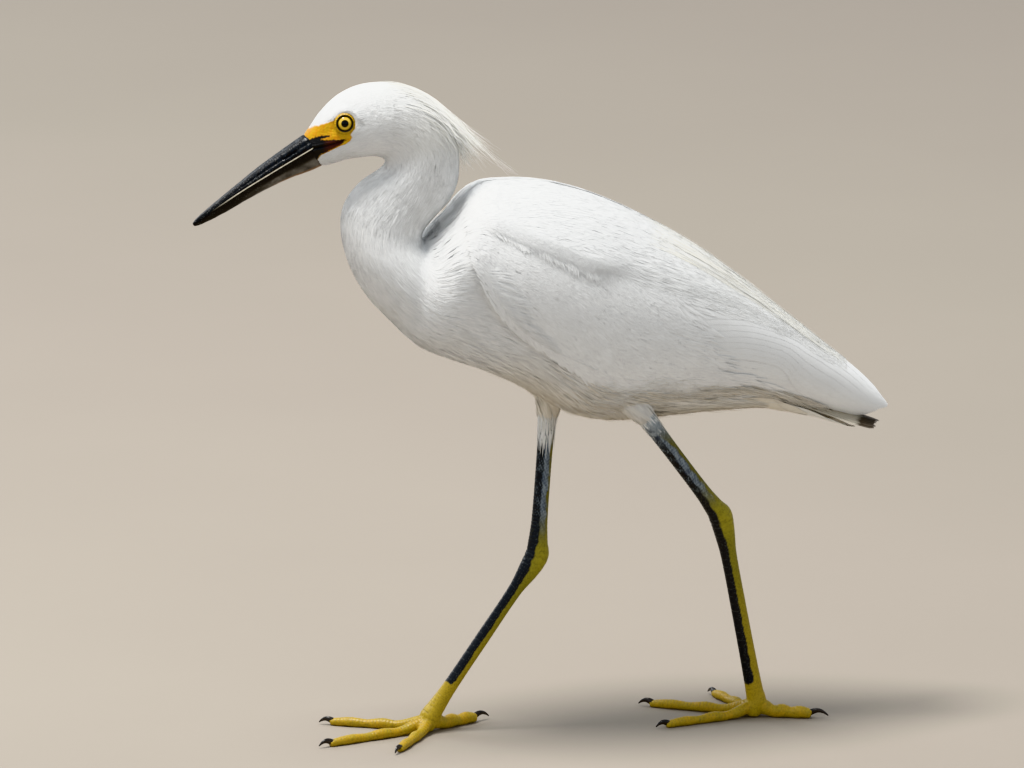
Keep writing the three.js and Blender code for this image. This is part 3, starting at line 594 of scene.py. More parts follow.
def limb_rings(stations, spacing, sides):
    """Rings along a limb through stations of centre, radius in the plane of bending and radius across."""
    table = np.array([[*centre, deep, wide] for centre, deep, wide in stations], float)
    run = np.concatenate([[0], np.cumsum(np.linalg.norm(np.diff(table[:, :3], axis=0), axis=1))])
    at = np.linspace(0, run[-1], max(4, round(run[-1] / spacing)) + 1)
    values = along(np.column_stack([run, table]), at)
    centre, deep, wide = values[:, :3], values[:, 3], values[:, 4]
    ahead = unit(np.gradient(centre, axis=0))
    across = unit(ACROSS - (ahead @ ACROSS)[:, None] * ahead)
    up = np.cross(ahead, across)
    turn = full_turn(sides)
    rings = (
        centre[:, None]
        + np.cos(turn)[:, None] * (up * deep[:, None])[:, None]
        + np.sin(turn)[:, None] * (across * wide[:, None])[:, None]
    )
    path = {
        "at": at, "centre": centre, "ahead": ahead, "up": up, "across": across, "deep": deep, "wide": wide,
    }
    return rings, path


def between(a, b, t):
    return lerp(np.array(a, float), np.array(b, float), t)


SHANK_RADIUS = 4.3
HEEL_RADIUS = 6.5
TOE_RADIUS = 2.7
# Thigh: share of the way from the knee to the hem of the feathers, depth and half width.
THIGH_FLESH = [(0.2, 6.5, 5), (0.4, 8, 5.8)]
THIGH_FEATHERED = [(0.6, 8.6, 6.2), (0.78, 7.6, 5.8), (0.92, 5.9, 5.0), (1.04, 4.6, 4.2)]
# Toe: share of its length and thickness, fuller at each joint.
TOE_KNUCKLES = [
    [0, 1.25], [0.16, 1.15], [0.32, 0.93], [0.47, 1.1], [0.62, 0.9], [0.78, 1.06], [0.93, 0.9],
    [0.985, 0.72],
]


def thigh_stations(leg):
    rows = THIGH_FLESH + [(share * leg["cuff"], deep, wide) for share, deep, wide in THIGH_FEATHERED]
    return [(between(leg["knee"], leg["hem"], share), deep, wide) for share, deep, wide in rows]


def leg_stations(leg):
    hem, heel, ankle, tarsus = leg["hem"], leg["heel"], leg["ankle"], leg["tarsus"]
    sole = np.array(ankle, float) + [-1.5, 0, 0]
    return [
        (between(leg["knee"], hem, 0.8), 4.4, 4.2),
        (between(hem, heel, 0), 4.8, 4.4),
        (between(hem, heel, 0.15), 4.5, 3.9),
        (between(hem, heel, 0.4), SHANK_RADIUS, SHANK_RADIUS * 0.82),
        (between(hem, heel, 0.75), SHANK_RADIUS * 1.04, SHANK_RADIUS * 0.86),
        (between(hem, heel, 0.9), HEEL_RADIUS * 0.84, HEEL_RADIUS * 0.76),
        (between(hem, heel, 0.98), HEEL_RADIUS, HEEL_RADIUS * 0.84),
        (between(heel, ankle, 0.07), HEEL_RADIUS * 0.9, HEEL_RADIUS * 0.78),
        (between(heel, ankle, 0.2), tarsus * 1.04, tarsus * 0.84),
        (between(heel, ankle, 0.5), tarsus, tarsus * 0.8),
        (between(heel, ankle, 0.82), tarsus * 1.05, tarsus * 0.86),
        (between(heel, ankle, 0.95), 4.9, 4.9),
        (between(heel, ankle, 1), 5.4, 6.0),
        ([sole[0], sole[1], 4.2], 5.0, 5.6),
        ([sole[0], sole[1], 0.9], 3.6, 4.2),
    ]


def toe_place(leg, turn, distance, height):
    turn = math.radians(turn)
    ankle = leg["ankle"]
    return [ankle[0] - math.cos(turn) * distance, ankle[1] - math.sin(turn) * distance, height]


def toe_stations(leg, toe):
    name, turn, length, _ = toe
    thick = TOE_RADIUS * (1.3 if name == "hind" else 1)
    made = []
    for share, knuckle in TOE_KNUCKLES:
        radius = thick * knuckle * lerp(1.05, 0.86, share)
        height = lerp(leg["ankle"][2] - 1.5, radius - 0.1, smooth(share * 4))
        made.append((toe_place(leg, turn, share * length, height), radius, radius * 1.04))
    return made


def claw_stations(leg, toe):
    _, turn, length, claw = toe
    made = []
    for t in np.linspace(0, 1, 9):
        rise = claw * 0.3 * math.sin(t * math.pi * 0.85)
        radius = lerp(1.75, 0.3, t**1.7)
        height = lerp(2.3, 0.5, t * t) + rise
        made.append((toe_place(leg, turn, length - 2.4 + t * (claw + 2.4), height), radius, radius * 0.72))
    return made


# Skin under the coat, and how deep it lies: number of the section of the neck, depth.
SKIN_DEPTH = [[0, 0.25], [3, 0.35], [5, 0.7], [9, 1.0], [13, 1.3], [16, 1.7], [20, 2.0]]
TRUNK_DEPTH = 1.9
# Cell of the remeshing in millimetres and rounds of smoothing.
BODY_MESH = (1.1, 7)
LEG_MESH = (0.5, 5)
FLESH = ["trunk", "neck_upper", "neck_lower", "head", "thigh_left", "thigh_right"]


def inside_edge(u, angle):
    """How many millimetres a place on the wing lies inside the edge of the back feathers."""
    return (column(SCAPULAR, u) - angle) * MM_PER_DEGREE


def fold_share(u):
    return smooth((u - 26) / 10) * smooth((112 - u) / 26)


def mantle_rise(u, angle):
    """Height of the back feathers over the wing's face, with the rounded fold that hangs over the wing."""
    s = inside_edge(u, angle)
    level = lerp(1.3, 0.8, smooth((u - 90) / 60)) - 0.5 * smooth((u - 170) / 60)
    level = level * smooth((u - 10) / 22)
    fold = fold_share(u)
    ramp = lerp(16, 3.5, smooth((u - 22) / 14)) + 8 * smooth((u - 92) / 24)
    spread = np.where(s < 7, 4.5, 8.0)
    rise = level * smooth(0.12 + s / ramp) + 1.4 * fold * bell(s - 7, spread)
    return rise * smooth(1 + s / lerp(4.0, 2.0, fold)) - 1.7 * smooth((23 - u) / 11)


def wing_base(side):
    """The flesh and small inner feathers of a closed wing, under its large feathers."""
    angles = np.linspace(1, 122, 62)
    behind = np.concatenate([[0, 1.5, 4, 8], np.linspace(14, 205, 66)])
    u = np.minimum(column(WING_FRONT, np.minimum(angles, 121))[None] + behind[:, None], 226.0)
    front = np.sqrt(np.clip(behind / 8, 0, 1))[:, None]
    low = smooth((angles - 112) / 10)[None]
    top = lerp(-6, -0.9, front) - 6 * smooth((u - 172) / 54) - 1.2 * low
    rings = sheet_rings(
        wing_point(u, angles[None], top, side),
        wing_point(u, angles[None], np.minimum(top - 0.5, -10.0), side),
    )
    return loft(rings)


def mantle_base():
    u = np.linspace(17, 205, 98)[:, None]
    share = np.linspace(-1, 1, 81)
    angle = column(SCAPULAR, u) * np.abs(share)
    side = np.where(share < 0, -1.0, 1.0)
    rise = mantle_rise(u, angle - 1.2) - 0.7 - 5 * smooth((u - 165) / 40)
    top = wing_point(u, angle, rise, side)
    bottom = wing_point(u, angle, np.minimum(rise - 1, -8.0), side)
    return loft(sheet_rings(top, bottom))


def snout():
    """The head's core inside the root of the bill, so that the skin runs on into the horn."""
    at = np.linspace(-4, 9, 10)
    above, below, wide = np.moveaxis(along(BILL, at), -1, 0)
    inset = lerp(0.35, 2.4, smooth(at / 8))
    turn = full_turn(40)
    deep = np.where(np.sin(turn) > 0, (above - inset)[:, None], (below - inset)[:, None])
    return loft(
        BILL_ROOT
        + at[:, None, None] * BILL_ALONG
        + (np.sin(turn) * deep)[..., None] * BILL_UP
        + (np.cos(turn) * (wide - inset)[:, None])[..., None] * ACROSS
    )


def body_skin():
    round_body = full_turn(72)
    u = np.linspace(1.5, 262, 130)[:, None]
    trunk = loft(trunk_surface(u, round_body, -TRUNK_DEPTH * smooth(u / 12) * smooth((300 - u) / 60)))
    at = np.linspace(0.05, NECK_END, 190)[:, None]
    neck = loft(neck_surface(at, round_body, -column(SKIN_DEPTH, at)))
    thighs = [loft(limb_rings(thigh_stations(leg), 2, 32)[0]) for leg in LEGS.values()]
    parts = [trunk, neck, snout(), wing_base(LEFT), wing_base(RIGHT), mantle_base(), *thighs]
    return remeshed("skin", parts, *BODY_MESH)


# Face: a bare patch from the bill round the eye to the corner of the mouth, seen from the side.
FACE_EDGE = [
    (-138, 345), (-135, 346.4), (-131, 346.9), (-125.3, 348.9), (-119.7, 351.5), (-116.6, 353.4),
    (-114.8, 354.9), (-111.6, 356.5), (-108.7, 355.6), (-106.7, 353.3), (-106.1, 350.6),
    (-106.8, 347.8), (-108.7, 345.6), (-107.9, 343.4), (-109.5, 340.9), (-112.8, 338.9),
    (-116.6, 336.9), (-121.2, 334.6), (-124.2, 332.6), (-125.2, 330.2), (-127, 320), (-138, 326),
]
# Mouth line from the bill to its corner, and the edge of the black horn on the face.
MOUTH = ((-128.3, 336.4), (-109.4, 342.4))
HORN_EDGE = [
    (-138, 345.4), (-132.3, 344.0), (-131.4, 342.3), (-129.6, 341.2), (-126.4, 343.0), (-122, 344.2),
    (-118.6, 344.5), (-121.2, 343.2), (-124.4, 341.6), (-119.4, 341.9), (-114.8, 342.5),
    (-111.4, 342.9), (-112.6, 340.5), (-116.4, 337.8), (-121.2, 335), (-124.6, 332.8), (-125.6, 330.2),
    (-138, 324),
]


def signed_distance(x, z, outline):
    """Distance in the side view from an outline, below zero inside it."""
    corners = np.array(outline, float)
    best = np.full(x.shape, 1e9)
    inside = np.zeros(x.shape, bool)
    for (ax, az), (bx, bz) in zip(corners, np.roll(corners, -1, axis=0)):
        ex, ez = bx - ax, bz - az
        t = np.clip(((x - ax) * ex + (z - az) * ez) / (ex * ex + ez * ez), 0, 1)
        best = np.minimum(best, np.hypot(x - ax - t * ex, z - az - t * ez))
        crosses = ((az > z) != (bz > z)) & (x < ex * (z - az) / np.where(ez == 0, 1e-9, ez) + ax)
        inside ^= crosses
    return np.where(inside, -best, best)


def line_distance(x, z, start, end):
    ex, ez = end[0] - start[0], end[1] - start[1]
    t = ((x - start[0]) * ex + (z - start[1]) * ez) / (ex * ex + ez * ez)
    clamped = np.clip(t, 0, 1)
    return np.hypot(x - start[0] - clamped * ex, z - start[1] - clamped * ez), t


def eye_axis(side):
    level = math.cos(EYE_LIFT)
    return np.array([-math.sin(EYE_TURN) * level, side * math.cos(EYE_TURN) * level, math.sin(EYE_LIFT)])


def eye_centre(side):
    return EYE * [1, side, 1]


def refine_face(skin):
    """Makes the mesh finer round the face."""
    edit = bmesh.new()
    edit.from_mesh(skin.data)
    near = []
    for face in edit.faces:
        c = face.calc_center_median() * METRE
        if -135 < c.x < -100 and c.z > 322:
            near.append(face)
    edges = list({edge for face in near for edge in face.edges})
    bmesh.ops.subdivide_edges(edit, edges=edges, cuts=2, use_grid_fill=True)
    bmesh.ops.triangulate(edit, faces=[f for f in edit.faces if len(f.verts) > 4])
    edit.to_mesh(skin.data)
    edit.free()
    shade_smooth(skin)


def shape_face(skin):
    """Gives the face its sockets, brow, lores, mouth line and lips."""
    p = positions(skin)
    chosen = np.flatnonzero((p[:, 0] < -96) & (p[:, 2] > 318))
    q = p[chosen]
    at, turn, clear = neck_coords(q, np.arange(0, 5, 0.02))
    held = neck_surface(at, turn, -column(SKIN_DEPTH, at))
    weight = smooth((-98 - q[:, 0]) / 5) * smooth((at - 0.1) / 0.25) * (np.abs(clear) < 2.5)
    q = blend(q, held, weight)
    x, z = q[:, 0], q[:, 2]
    outward = unit(held - neck_ring(at)[0])
    on_side = smooth((np.abs(q[:, 1]) - 2) / 3)
    bare = smooth(-signed_distance(x, z, FACE_EDGE) / 1.2) * on_side
    from_mouth, share = line_distance(x, z, *MOUTH)
    in_mouth = smooth((1.04 - share) / 0.12)
    lore, _ = line_distance(x, z, (-128, 342.5), (-118.5, 347.5))
    from_eye = np.hypot(x - EYE[0], z - EYE[2])
    rise = -0.9 * bell(lore, 3.2) * bare
    rise -= 0.8 * bell(from_mouth, 0.5) * in_mouth * on_side
    rise += 0.35 * bell(from_mouth - 1.3, 0.6) * in_mouth * on_side
    rise += 0.9 * bell(from_eye - 7.6, 1.8) * smooth((z - EYE[2]) / 4) * on_side
    rise += 0.10 * rough_noise(q, 1.5, 3) * bare
    q = q + outward * rise[:, None]
    for _, side in SIDES:
        axis = eye_axis(side)
        offset = q - eye_centre(side)
        high = offset @ axis
        off_axis = np.linalg.norm(offset - high[:, None] * axis, axis=1)
        mine = (q[:, 1] * side > 0) & (high > 0) & (off_axis < 7)
        sunk = lerp(1.2, high, smooth((off_axis - 4.6) / 1.4))
        q = q + np.where(mine, np.minimum(sunk - high, 0), 0)[:, None] * axis
    p[chosen] = q
    set_positions(skin, p)


def face_colours(points):
    """White, with yellow lores and lips, black horn behind the bill, a dark red corner of the mouth partly in
    painted shadow, and painted shadow along the mouth line.
    """
    x, z = points[:, 0], points[:, 2]
    on_side = smooth((np.abs(points[:, 1]) - lerp(-2.5, 1.5, smooth((x + 131) / 4))) / 2)
    edge = signed_distance(x, z, FACE_EDGE) + 0.3 * rough_noise(points, 2.5, 8)
    bare = smooth(0.5 - edge / 0.6) * on_side * (x < -100)
    olive = smooth((8.5 - np.hypot(x - EYE[0], z - EYE[2])) / 3)
    yellow = blend(YELLOW, ORANGE, smooth(0.5 + 0.6 * rough_noise(points, 4, 5)))
    yellow = yellow * lerp(1.0, 0.78, smooth(rough_noise(points, 1.2, 6)))[:, None]
    yellow = blend(yellow, EYE_RING_OLIVE, 0.5 * olive)
    chin = smooth((334.5 - z) / 2) * smooth((-119 - x) / 2)
    yellow = blend(yellow, CHIN_BROWN, 0.75 * chin)
    colours = blend(np.broadcast_to(WHITE * 0.93, points.shape), yellow, bare)
    horn_edge = signed_distance(x, z, HORN_EDGE) + 0.35 * rough_noise(points, 2.0, 9)
    horn = smooth(0.5 - horn_edge / 0.5) * on_side
    from_mouth, _ = line_distance(x, z, *MOUTH)
    # The corner of the mouth: dark red skin with painted shadow inside the gape.
    red = smooth((x + 124) / 5) * smooth((342.4 - z) / 1.5)
    colours = blend(colours, blend(BLACK, MOUTH_RED, red), horn * (x < -104))
    # Painted shadow: a black line along the crease of the mouth.
    slit = smooth((0.45 - from_mouth) / 0.3) * on_side * bare * (x < -111)
    colours = blend(colours, BLACK, 0.8 * slit)
    in_bill = smooth(((points - BILL_ROOT) @ BILL_ALONG - 0.6) / 0.6)
    return blend(colours, BLACK, in_bill)


def skin_piece():
    """One skin of the whole body, in place of the solids of flesh."""
    made = body_skin()
    refine_face(made)
    shape_face(made)
    set_tint(made, face_colours(positions(made)))
    dress(made, skin_material, "plumage", *FLESH)
    return made


# Lie of the coat.


class Coat:
    """The skin as the coat sees it: nearest point, outward direction, lie, and place on the map."""

    def __init__(self, skin):
        mesh = skin.data
        self.centres = read_vectors(mesh.polygons, "center") * METRE
        self.normals = read_vectors(mesh.polygons, "normal")
        self.areas = read_values(mesh.polygons, "area", np.float32).astype(float) * METRE**2
        corners = [v.co * METRE for v in mesh.vertices]
        self.tree = BVHTree.FromPolygons(corners, [tuple(p.vertices) for p in mesh.polygons])
        self.soften(mesh, 7)
        self.measure()

    def soften(self, mesh, rounds):
        """Averages the outward directions with those of the faces round about."""
        corner = read_values(mesh.loops, "vertex_index")
        sides = read_values(mesh.polygons, "loop_total")
        owner = np.repeat(np.arange(len(sides)), sides)

        def gathered(places, values):
            return np.stack([np.bincount(places, values[:, axis]) for axis in range(3)], -1)

        for _ in range(rounds):
            at_corners = gathered(corner, self.normals[owner])
            self.normals = unit(gathered(owner, at_corners[corner]))

    def measure(self):
        """Works out, for each face of the skin, where it lies on the bird and which way its feathers run."""
        c = self.centres
        at, turn, clear = neck_coords(c)
        u, around = trunk_coords(c)
        near_neck = bell(clear, 4) * (1 - smooth((at - 15.5) / 4))
        near_neck = np.maximum(near_neck, smooth(14 - at) * (np.abs(clear) < 6))
        neck_lie = unit(neck_surface(at + 0.2, turn) - neck_surface(at - 0.2, turn))
        middle = unit(neck_ring(at + 0.3)[0] - neck_ring(at - 0.3)[0])
        neck_lie = unit(neck_lie + 0.5 * middle)
        trunk_lie = unit(trunk_surface(u + 2, around) - trunk_surface(u - 2, around))
        lie = blend(trunk_lie, neck_lie, near_neck)
        self.thigh = np.zeros(len(c))
        for leg in LEGS.values():
            start, end = np.array(leg["knee"], float), np.array(leg["hem"], float)
            run = end - start
            t = (c - start) @ run / (run @ run)
            off = np.linalg.norm(c - start - np.clip(t, 0, 1.2)[:, None] * run, axis=1)
            weight = smooth((t - 0.35) / 0.4) * smooth((lerp(13, 8, np.clip(t, 0, 1)) - off) / 5)
            lie = blend(lie, unit(run), weight)
            self.thigh = np.maximum(self.thigh, weight)
        wing_u, wing_turn = trunk_coords(c, WING)
        degrees = np.degrees(np.abs(wing_turn))
        behind = wing_u - column(WING_FRONT, np.clip(degrees, 2, 121))
        self.shoulder = smooth((behind + 22) / 16) * smooth((88 - degrees) / 20)
        self.under_wing = (degrees < 116) & (behind > 6) & (near_neck < 0.6) & (self.thigh < 0.5)
        self.lie = unit(lie - (lie * self.normals).sum(-1, keepdims=True) * self.normals)
        self.at, self.near_neck, self.u, self.around = at, near_neck, u, around
        x, z = c[:, 0], c[:, 2]
        beside = np.abs(c[:, 1]) > np.where(x < -129, -1, 1.2)
        self.bare = (signed_distance(x, z, FACE_EDGE) < 0.15) & beside & (x < -100)
        neck_place = body_uv(at / NECK_END, turn, NECK_MAP)
        trunk_place = body_uv(u / TRUNK_MAP_LENGTH, around, TRUNK_MAP)
        self.uv = np.where((near_neck > 0.5)[:, None], neck_place, trunk_place)

    def snap(self, points):
        """Nearest point of the skin to each point, and the face it lies on."""
        hits = [self.tree.find_nearest(p) for p in points.tolist()]
        return np.array([h[0] for h in hits]), np.array([h[2] for h in hits])

    def roots(self, density):
        """Roots spread evenly over the faces, so many for each square millimetre."""
        wanted = np.cumsum(self.areas * density)
        faces = np.searchsorted(wanted, np.arange(0.5, wanted[-1]), side="left")
        n, d = self.normals[faces], self.lie[faces]
        spread = np.sqrt(self.areas[faces])[:, None] * 0.75
        aside = np.cross(n, d)
        shift = rng.uniform(-1, 1, (len(faces), 2))
        return self.centres[faces] + spread * (shift[:, :1] * d + shift[:, 1:] * aside), faces


def ribbons(name, centre, aside, normal, half, tint, uv, gleam=0.045, curl=0.13, lean=0.0):
    """Thin tapering blades, each shaded as the smooth coat that it lies in, with a small tilt of its own."""
    count, stations = half.shape
    across = np.array([-1.0, 1.0])[:, None]
    points = centre[:, :, None] + aside[:, :, None] * (half[..., None, None] * across)
    own = (lean + rng.normal(0, gleam, count))[:, None, None, None]
    facing = unit(normal[:, :, None] + aside[:, :, None] * (own + curl * across))
    made = quad_object(name, points.reshape(-1, 3), blade_quads(count, stations, 2))
    shade_smooth(made)
    set_normals(made, facing)
    share = np.repeat(np.linspace(0, 1, stations), 2)
    patch = map_patch(np.tile(across[:, 0], stations), share)
    set_uv(made, "OFBake", np.clip((uv[:, None] + patch).reshape(-1, 2), 0, 1))
    # Painted shade: each blade a little darker towards its root, which lies under other blades.
    set_tint(made, (tint[:, None] * lerp(0.97, 1.0, share)[None, :, None]).reshape(-1, 3))
    dress(made, feather_material, "plumage")


def grow(coat, name, roots, faces, length, width, height, profile, tint, wave=(0.08, 11.0), **options):
    """Blades along the lie of the coat. height is (root, middle, tip) above the skin, wave (turn, size)."""
    count = len(roots)
    steps = len(profile) - 1
    length = np.broadcast_to(length, count)
    width = np.broadcast_to(width, count)
    swing = rng.normal(0, 0.035, count) + wave[0] * rough_noise(roots, wave[1], 21)
    swing = swing + 0.5 * wave[0] * rough_noise(roots, wave[1] * 0.4, 23)
    low, middle, high = [np.broadcast_to(h, count) for h in height]
    bumpy = 1 + 0.08 * rough_noise(roots, 9, 22) + rng.normal(0, 0.03, count)
    point = roots
    centres, asides, normals = [], [], []
    for i in range(steps + 1):
        where, face = coat.snap(point)
        n, d = coat.normals[face], coat.lie[face]
        aside = np.cross(n, d)
        d = unit(d * np.cos(swing)[:, None] + aside * np.sin(swing)[:, None])
        t = i / steps
        rise = np.where(t < 0.5, lerp(low, middle, smooth(t * 2)), lerp(middle, high, t * 2 - 1)) * bumpy
        centres.append(where + n * rise[:, None])
        asides.append(np.cross(n, d))
        normals.append(n)
        point = where + d * (length / steps)[:, None]
    half = np.array(profile)[None] * width[:, None] / 2
    centre, aside, normal = (np.stack(rows, 1) for rows in (centres, asides, normals))
    ribbons(name, centre, aside, normal, half, tint, coat.uv[faces], **options)


def comb(name, u, angle, side, length, width, surface, lift, drift, profile, tint, **options):
    """Blades over the folded wings. surface gives their height, and lift what root and tip add to it."""
    steps = len(profile) - 1
    u, angle, side = np.broadcast_arrays(np.asarray(u, float), angle, side)
    centres, normals = [], []
    for i in range(steps + 1):
        t = i / steps
        at = u + length * t * np.cos(drift)
        turned = angle + length * t * np.sin(drift) / MM_PER_DEGREE
        turned = np.maximum(turned, 0.4)
        level = surface(at, turned) + lerp(lift[0], lift[1], t)
        here = wing_point(at, turned, level, side)
        outward = unit(wing_point(at, turned, level + 1, side) - here)
        onward = unit(wing_point(at + 1, turned, level, side) - here)
        around = unit(wing_point(at, turned + 1, level, side) - here)
        climb = np.clip((surface(at + 1, turned) - surface(at - 1, turned)) / 2, -0.3, 0.3)
        lean = (surface(at, turned + 0.6) - surface(at, turned - 0.6)) / (1.2 * MM_PER_DEGREE)
        lean = np.clip(lean, -0.08, 0.4)
        centres.append(here)
        normals.append(unit(outward - climb[..., None] * onward - lean[..., None] * around))
    centre, normal = np.stack(centres, 1), np.stack(normals, 1)
    ahead = unit(np.gradient(centre, axis=1))
    aside = np.cross(normal, ahead)
    half = np.array(profile)[None] * np.broadcast_to(width, u.shape)[:, None] / 2
    ribbons(name, centre, aside, normal, half, tint, wing_uv(u, angle, side), **options)


# Outlines of the small feathers: share of the full width at even steps from root to tip.
STRAND = [0.6, 1.0, 0.75, 0.08]
LONG = [0.6, 1.0, 1.0, 0.7, 0.08]
SHORT = [0.7, 1.0, 0.1]
SOFT = [0.6, 1.0, 0.95, 0.55, 0.06]
PLUME = [0.7, 1, 1, 0.9, 0.8, 0.6, 0.4, 0.1]
# How many small feathers lie on both sides together, and how many tufts of how many feathers hang loose.
HEM_FEATHERS = 800
MANTLE_FEATHERS = 24500
FOLD_FEATHERS = 12000
SHOULDER_FEATHERS = 15500
COVERT_FEATHERS = 12500
FRINGE_TUFTS = (210, 20)
FLANK_TUFTS = (120, 30)
VENT_TUFTS = (170, 34)
BACK_PLUMES = 1500
CREST_PLUMES = 430
# Tufts of the flank hang longer in front of this distance along the trunk.
FLANK_MIDDLE = 142


def both_sides(count):
    return np.where(np.arange(count) % 2 == 0, -1.0, 1.0)


def tufted(values, each, scatter):
    """A value for each feather of a tuft, scattered round that of the tuft."""
    return np.repeat(values, each) + rng.normal(0, scatter, len(values) * each)


def white_tint(count, cream=0.0):
    return blend(WHITE, CREAM, np.broadcast_to(cream, count)) * (1 + 0.025 * rng.normal(size=(count, 1)))


def coat_tint(coat, faces):
    """White, warmer on the nape, with painted warm shade under the belly and small differences from tuft to
    tuft.
    """
    low = smooth(np.abs(coat.around[faces]) - 1.9) * smooth((coat.u[faces] - 20) / 60)
    low = low * (1 - coat.near_neck[faces])
    nape = bell(coat.at[faces] - 7.5, 2.2) * coat.near_neck[faces]
    crown = smooth((coat.centres[faces, 2] - 330) / 20)
    # Painted shade under the belly, cream on the nape.
    tint = blend(blend(WHITE, SHADE, 0.75 * low), CREAM, 0.25 * nape * crown)
    return tint * (1 + 0.03 * rng.normal(size=len(faces)))[:, None]


def halves(count):
    return slice(0, count // 2), slice(count // 2, None)


def head_coat(coat, where):
    roots, faces = coat.roots(np.where(where, lerp(4.6, 3.2, smooth(coat.at / 5)), 0))
    at = coat.at[faces]
    onward = smooth((at - 1) / 4)
    grow(
        coat, "coat_head", roots, faces,
        lerp(2.6, 8.5, smooth((at - 0.3) / 4)), lerp(0.28, 0.42, smooth(at / 5)),
        (-0.1, lerp(0.16, 0.42, onward), lerp(0.2, 0.46, onward)), SHORT, coat_tint(coat, faces),
        gleam=lerp(0.03, 0.09, smooth(at / 4)), lean=0.09 * smooth(at / 4) * rough_noise(roots, 3.0, 24),
    )


def neck_coat(coat, where):
    roots, faces = coat.roots(np.where(where, lerp(2.5, 1.55, smooth((coat.at - 9) / 7)), 0))
    for name, part in zip(("upper", "lower"), halves(len(roots))):
        at = coat.at[faces[part]]
        depth = column(SKIN_DEPTH, at)
        low = smooth((at - 8) / 8)
        grow(
            coat, f"coat_neck_{name}", roots[part], faces[part],
            lerp(11, 19, low) * rng.uniform(0.75, 1.2, len(at)), lerp(0.4, 0.62, low),
            (-0.3, depth * 0.72, depth * 0.88), LONG, coat_tint(coat, faces[part]),
            gleam=0.11, curl=0.25, lean=0.13 * rough_noise(roots[part], 3.2, 24),
        )


def trunk_coat(coat, where):
    belly = smooth((np.abs(coat.around) - 2.0) / 0.5)
    roots, faces = coat.roots(np.where(where, lerp(1.35, 0.85, belly), 0))
    for name, part in zip(("front", "rear"), halves(len(roots))):
        f = faces[part]
        thigh = coat.thigh[f]
        shoulder = coat.shoulder[f]
        loose = belly[f] * (1 - thigh)
        ragged = np.where(rng.uniform(size=len(f)) < 0.06, 1.6, 0) * loose
        tip = lerp(lerp(1.6, 2.1, loose), 0.8, thigh) + ragged
        grow(
            coat, f"coat_trunk_{name}", roots[part], f,
            lerp(lerp(lerp(20, 25, loose), 8, thigh), 9, shoulder) * rng.uniform(0.75, 1.2, len(f)),
            lerp(lerp(0.72, 1.0, loose), 0.6, thigh),
            (-0.3, lerp(lerp(1.35, 0.6, thigh), 0.45, shoulder), lerp(tip, 0.3, shoulder)), SOFT,
            coat_tint(coat, f), wave=(0.12, 14.0), lean=0.06 * rough_noise(roots[part], 5, 25),
        )


def body_coat(coat):
    free = ~coat.bare & ~coat.under_wing
    on_neck = coat.near_neck > 0.5
    head_coat(coat, free & on_neck & (coat.at < 5))
    neck_coat(coat, free & on_neck & (coat.at >= 5))
    trunk_coat(coat, free & ~on_neck)


# Radius of the thigh's feathers by share of the way from the knee to the hem.
HEM_RADIUS = ([0.5, 0.7, 0.85, 1.0, 1.15, 1.3], [8.2, 7.9, 6.9, 5.5, 4.8, 4.6])


def hem_coat():
    """Ragged feathers round the lower end of each thigh, which taper on to the bare leg."""
    centres, asides, normals, uv = [], [], [], []
    each = HEM_FEATHERS
    for leg in LEGS.values():
        knee, hem, heel = (np.array(leg[key], float) for key in ("knee", "hem", "heel"))
        start = rng.uniform(0.6, 1.05, each)
        turn = rng.uniform(0, math.tau, each)
        length = rng.uniform(7, 15, each) / np.linalg.norm(hem - knee)
        forward = unit(np.cross(hem - knee, ACROSS))
        radial = np.cos(turn)[:, None] * forward + np.sin(turn)[:, None] * ACROSS
        rows = []
        for t in np.linspace(0, 1, 5):
            place = start + length * t
            reach = place * leg["cuff"]
            past = np.maximum(reach - 1, 0)[:, None]
            axis = knee + np.minimum(reach, 1)[:, None] * (hem - knee) + past * (heel - hem) * 0.75
            radius = np.interp(place, *HEM_RADIUS)
            clear = lerp(-1.0, 0.35, t) + 0.5 * rough_noise(radial * 6 + start[:, None], 7, 26) * t
            rows.append(axis + radial * (radius + clear)[:, None] * [1, 0.82, 1])
        rows = np.stack(rows, 1)
        ahead = unit(np.gradient(rows, axis=1))
        outward = np.broadcast_to(radial[:, None], rows.shape)
        outward = unit(outward - (outward * ahead).sum(-1, keepdims=True) * ahead)
        centres.append(rows)
        normals.append(outward)
        asides.append(np.cross(outward, ahead))
        uv.append(np.stack([0.7 + 0.06 * start, 0.9 + 0.01 * turn], -1))
    half = np.array(SOFT)[None] * rng.uniform(0.5, 0.9, 2 * each)[:, None] / 2
    tint = white_tint(2 * each, rng.uniform(0, 0.3, 2 * each))
    ribbons(
        "coat_hem", np.concatenate(centres), np.concatenate(asides), np.concatenate(normals), half, tint,
        np.concatenate(uv), gleam=0.08,
    )


def mantle_coat():
    """Combed feathers of the back and shoulders, longer and looser towards the rear."""
    count = MANTLE_FEATHERS
    side = both_sides(count)
    u = rng.uniform(14.5, 238, count)
    angle = column(SCAPULAR, u) * rng.uniform(0.02, 1, count)
    rear = smooth((u - 80) / 90)
    length = lerp(17, 32, rear) * rng.uniform(0.8, 1.2, count)
    length = np.minimum(length, 256 - u)
    place = wing_point(u, angle, 0.0, side)
    fold = fold_share(u)
    edge = bell(inside_edge(u, angle), 7)
    drift = 0.025 * rng.normal(size=count) + 0.06 * rough_noise(place, 20, 81)
    drift = drift + 0.05 * rough_noise(place, 8, 82) * rear
    drift = drift + 0.02 + 0.30 * edge * fold - 0.06 * rear
    comb(
        "coat_mantle", u, angle, side, length * lerp(1, 0.5, edge * fold), lerp(0.9, 0.8, rear), mantle_rise,
        (-0.6, 0.14 - 0.1 * edge * (1 - fold)), drift, LONG,
        white_tint(count, 0.12 * rear * rng.uniform(0, 1, count)),
        gleam=lerp(0.03, 0.06, rear), lean=lerp(0.03, 0.09, rear) * rough_noise(place, 6, 86),
    )


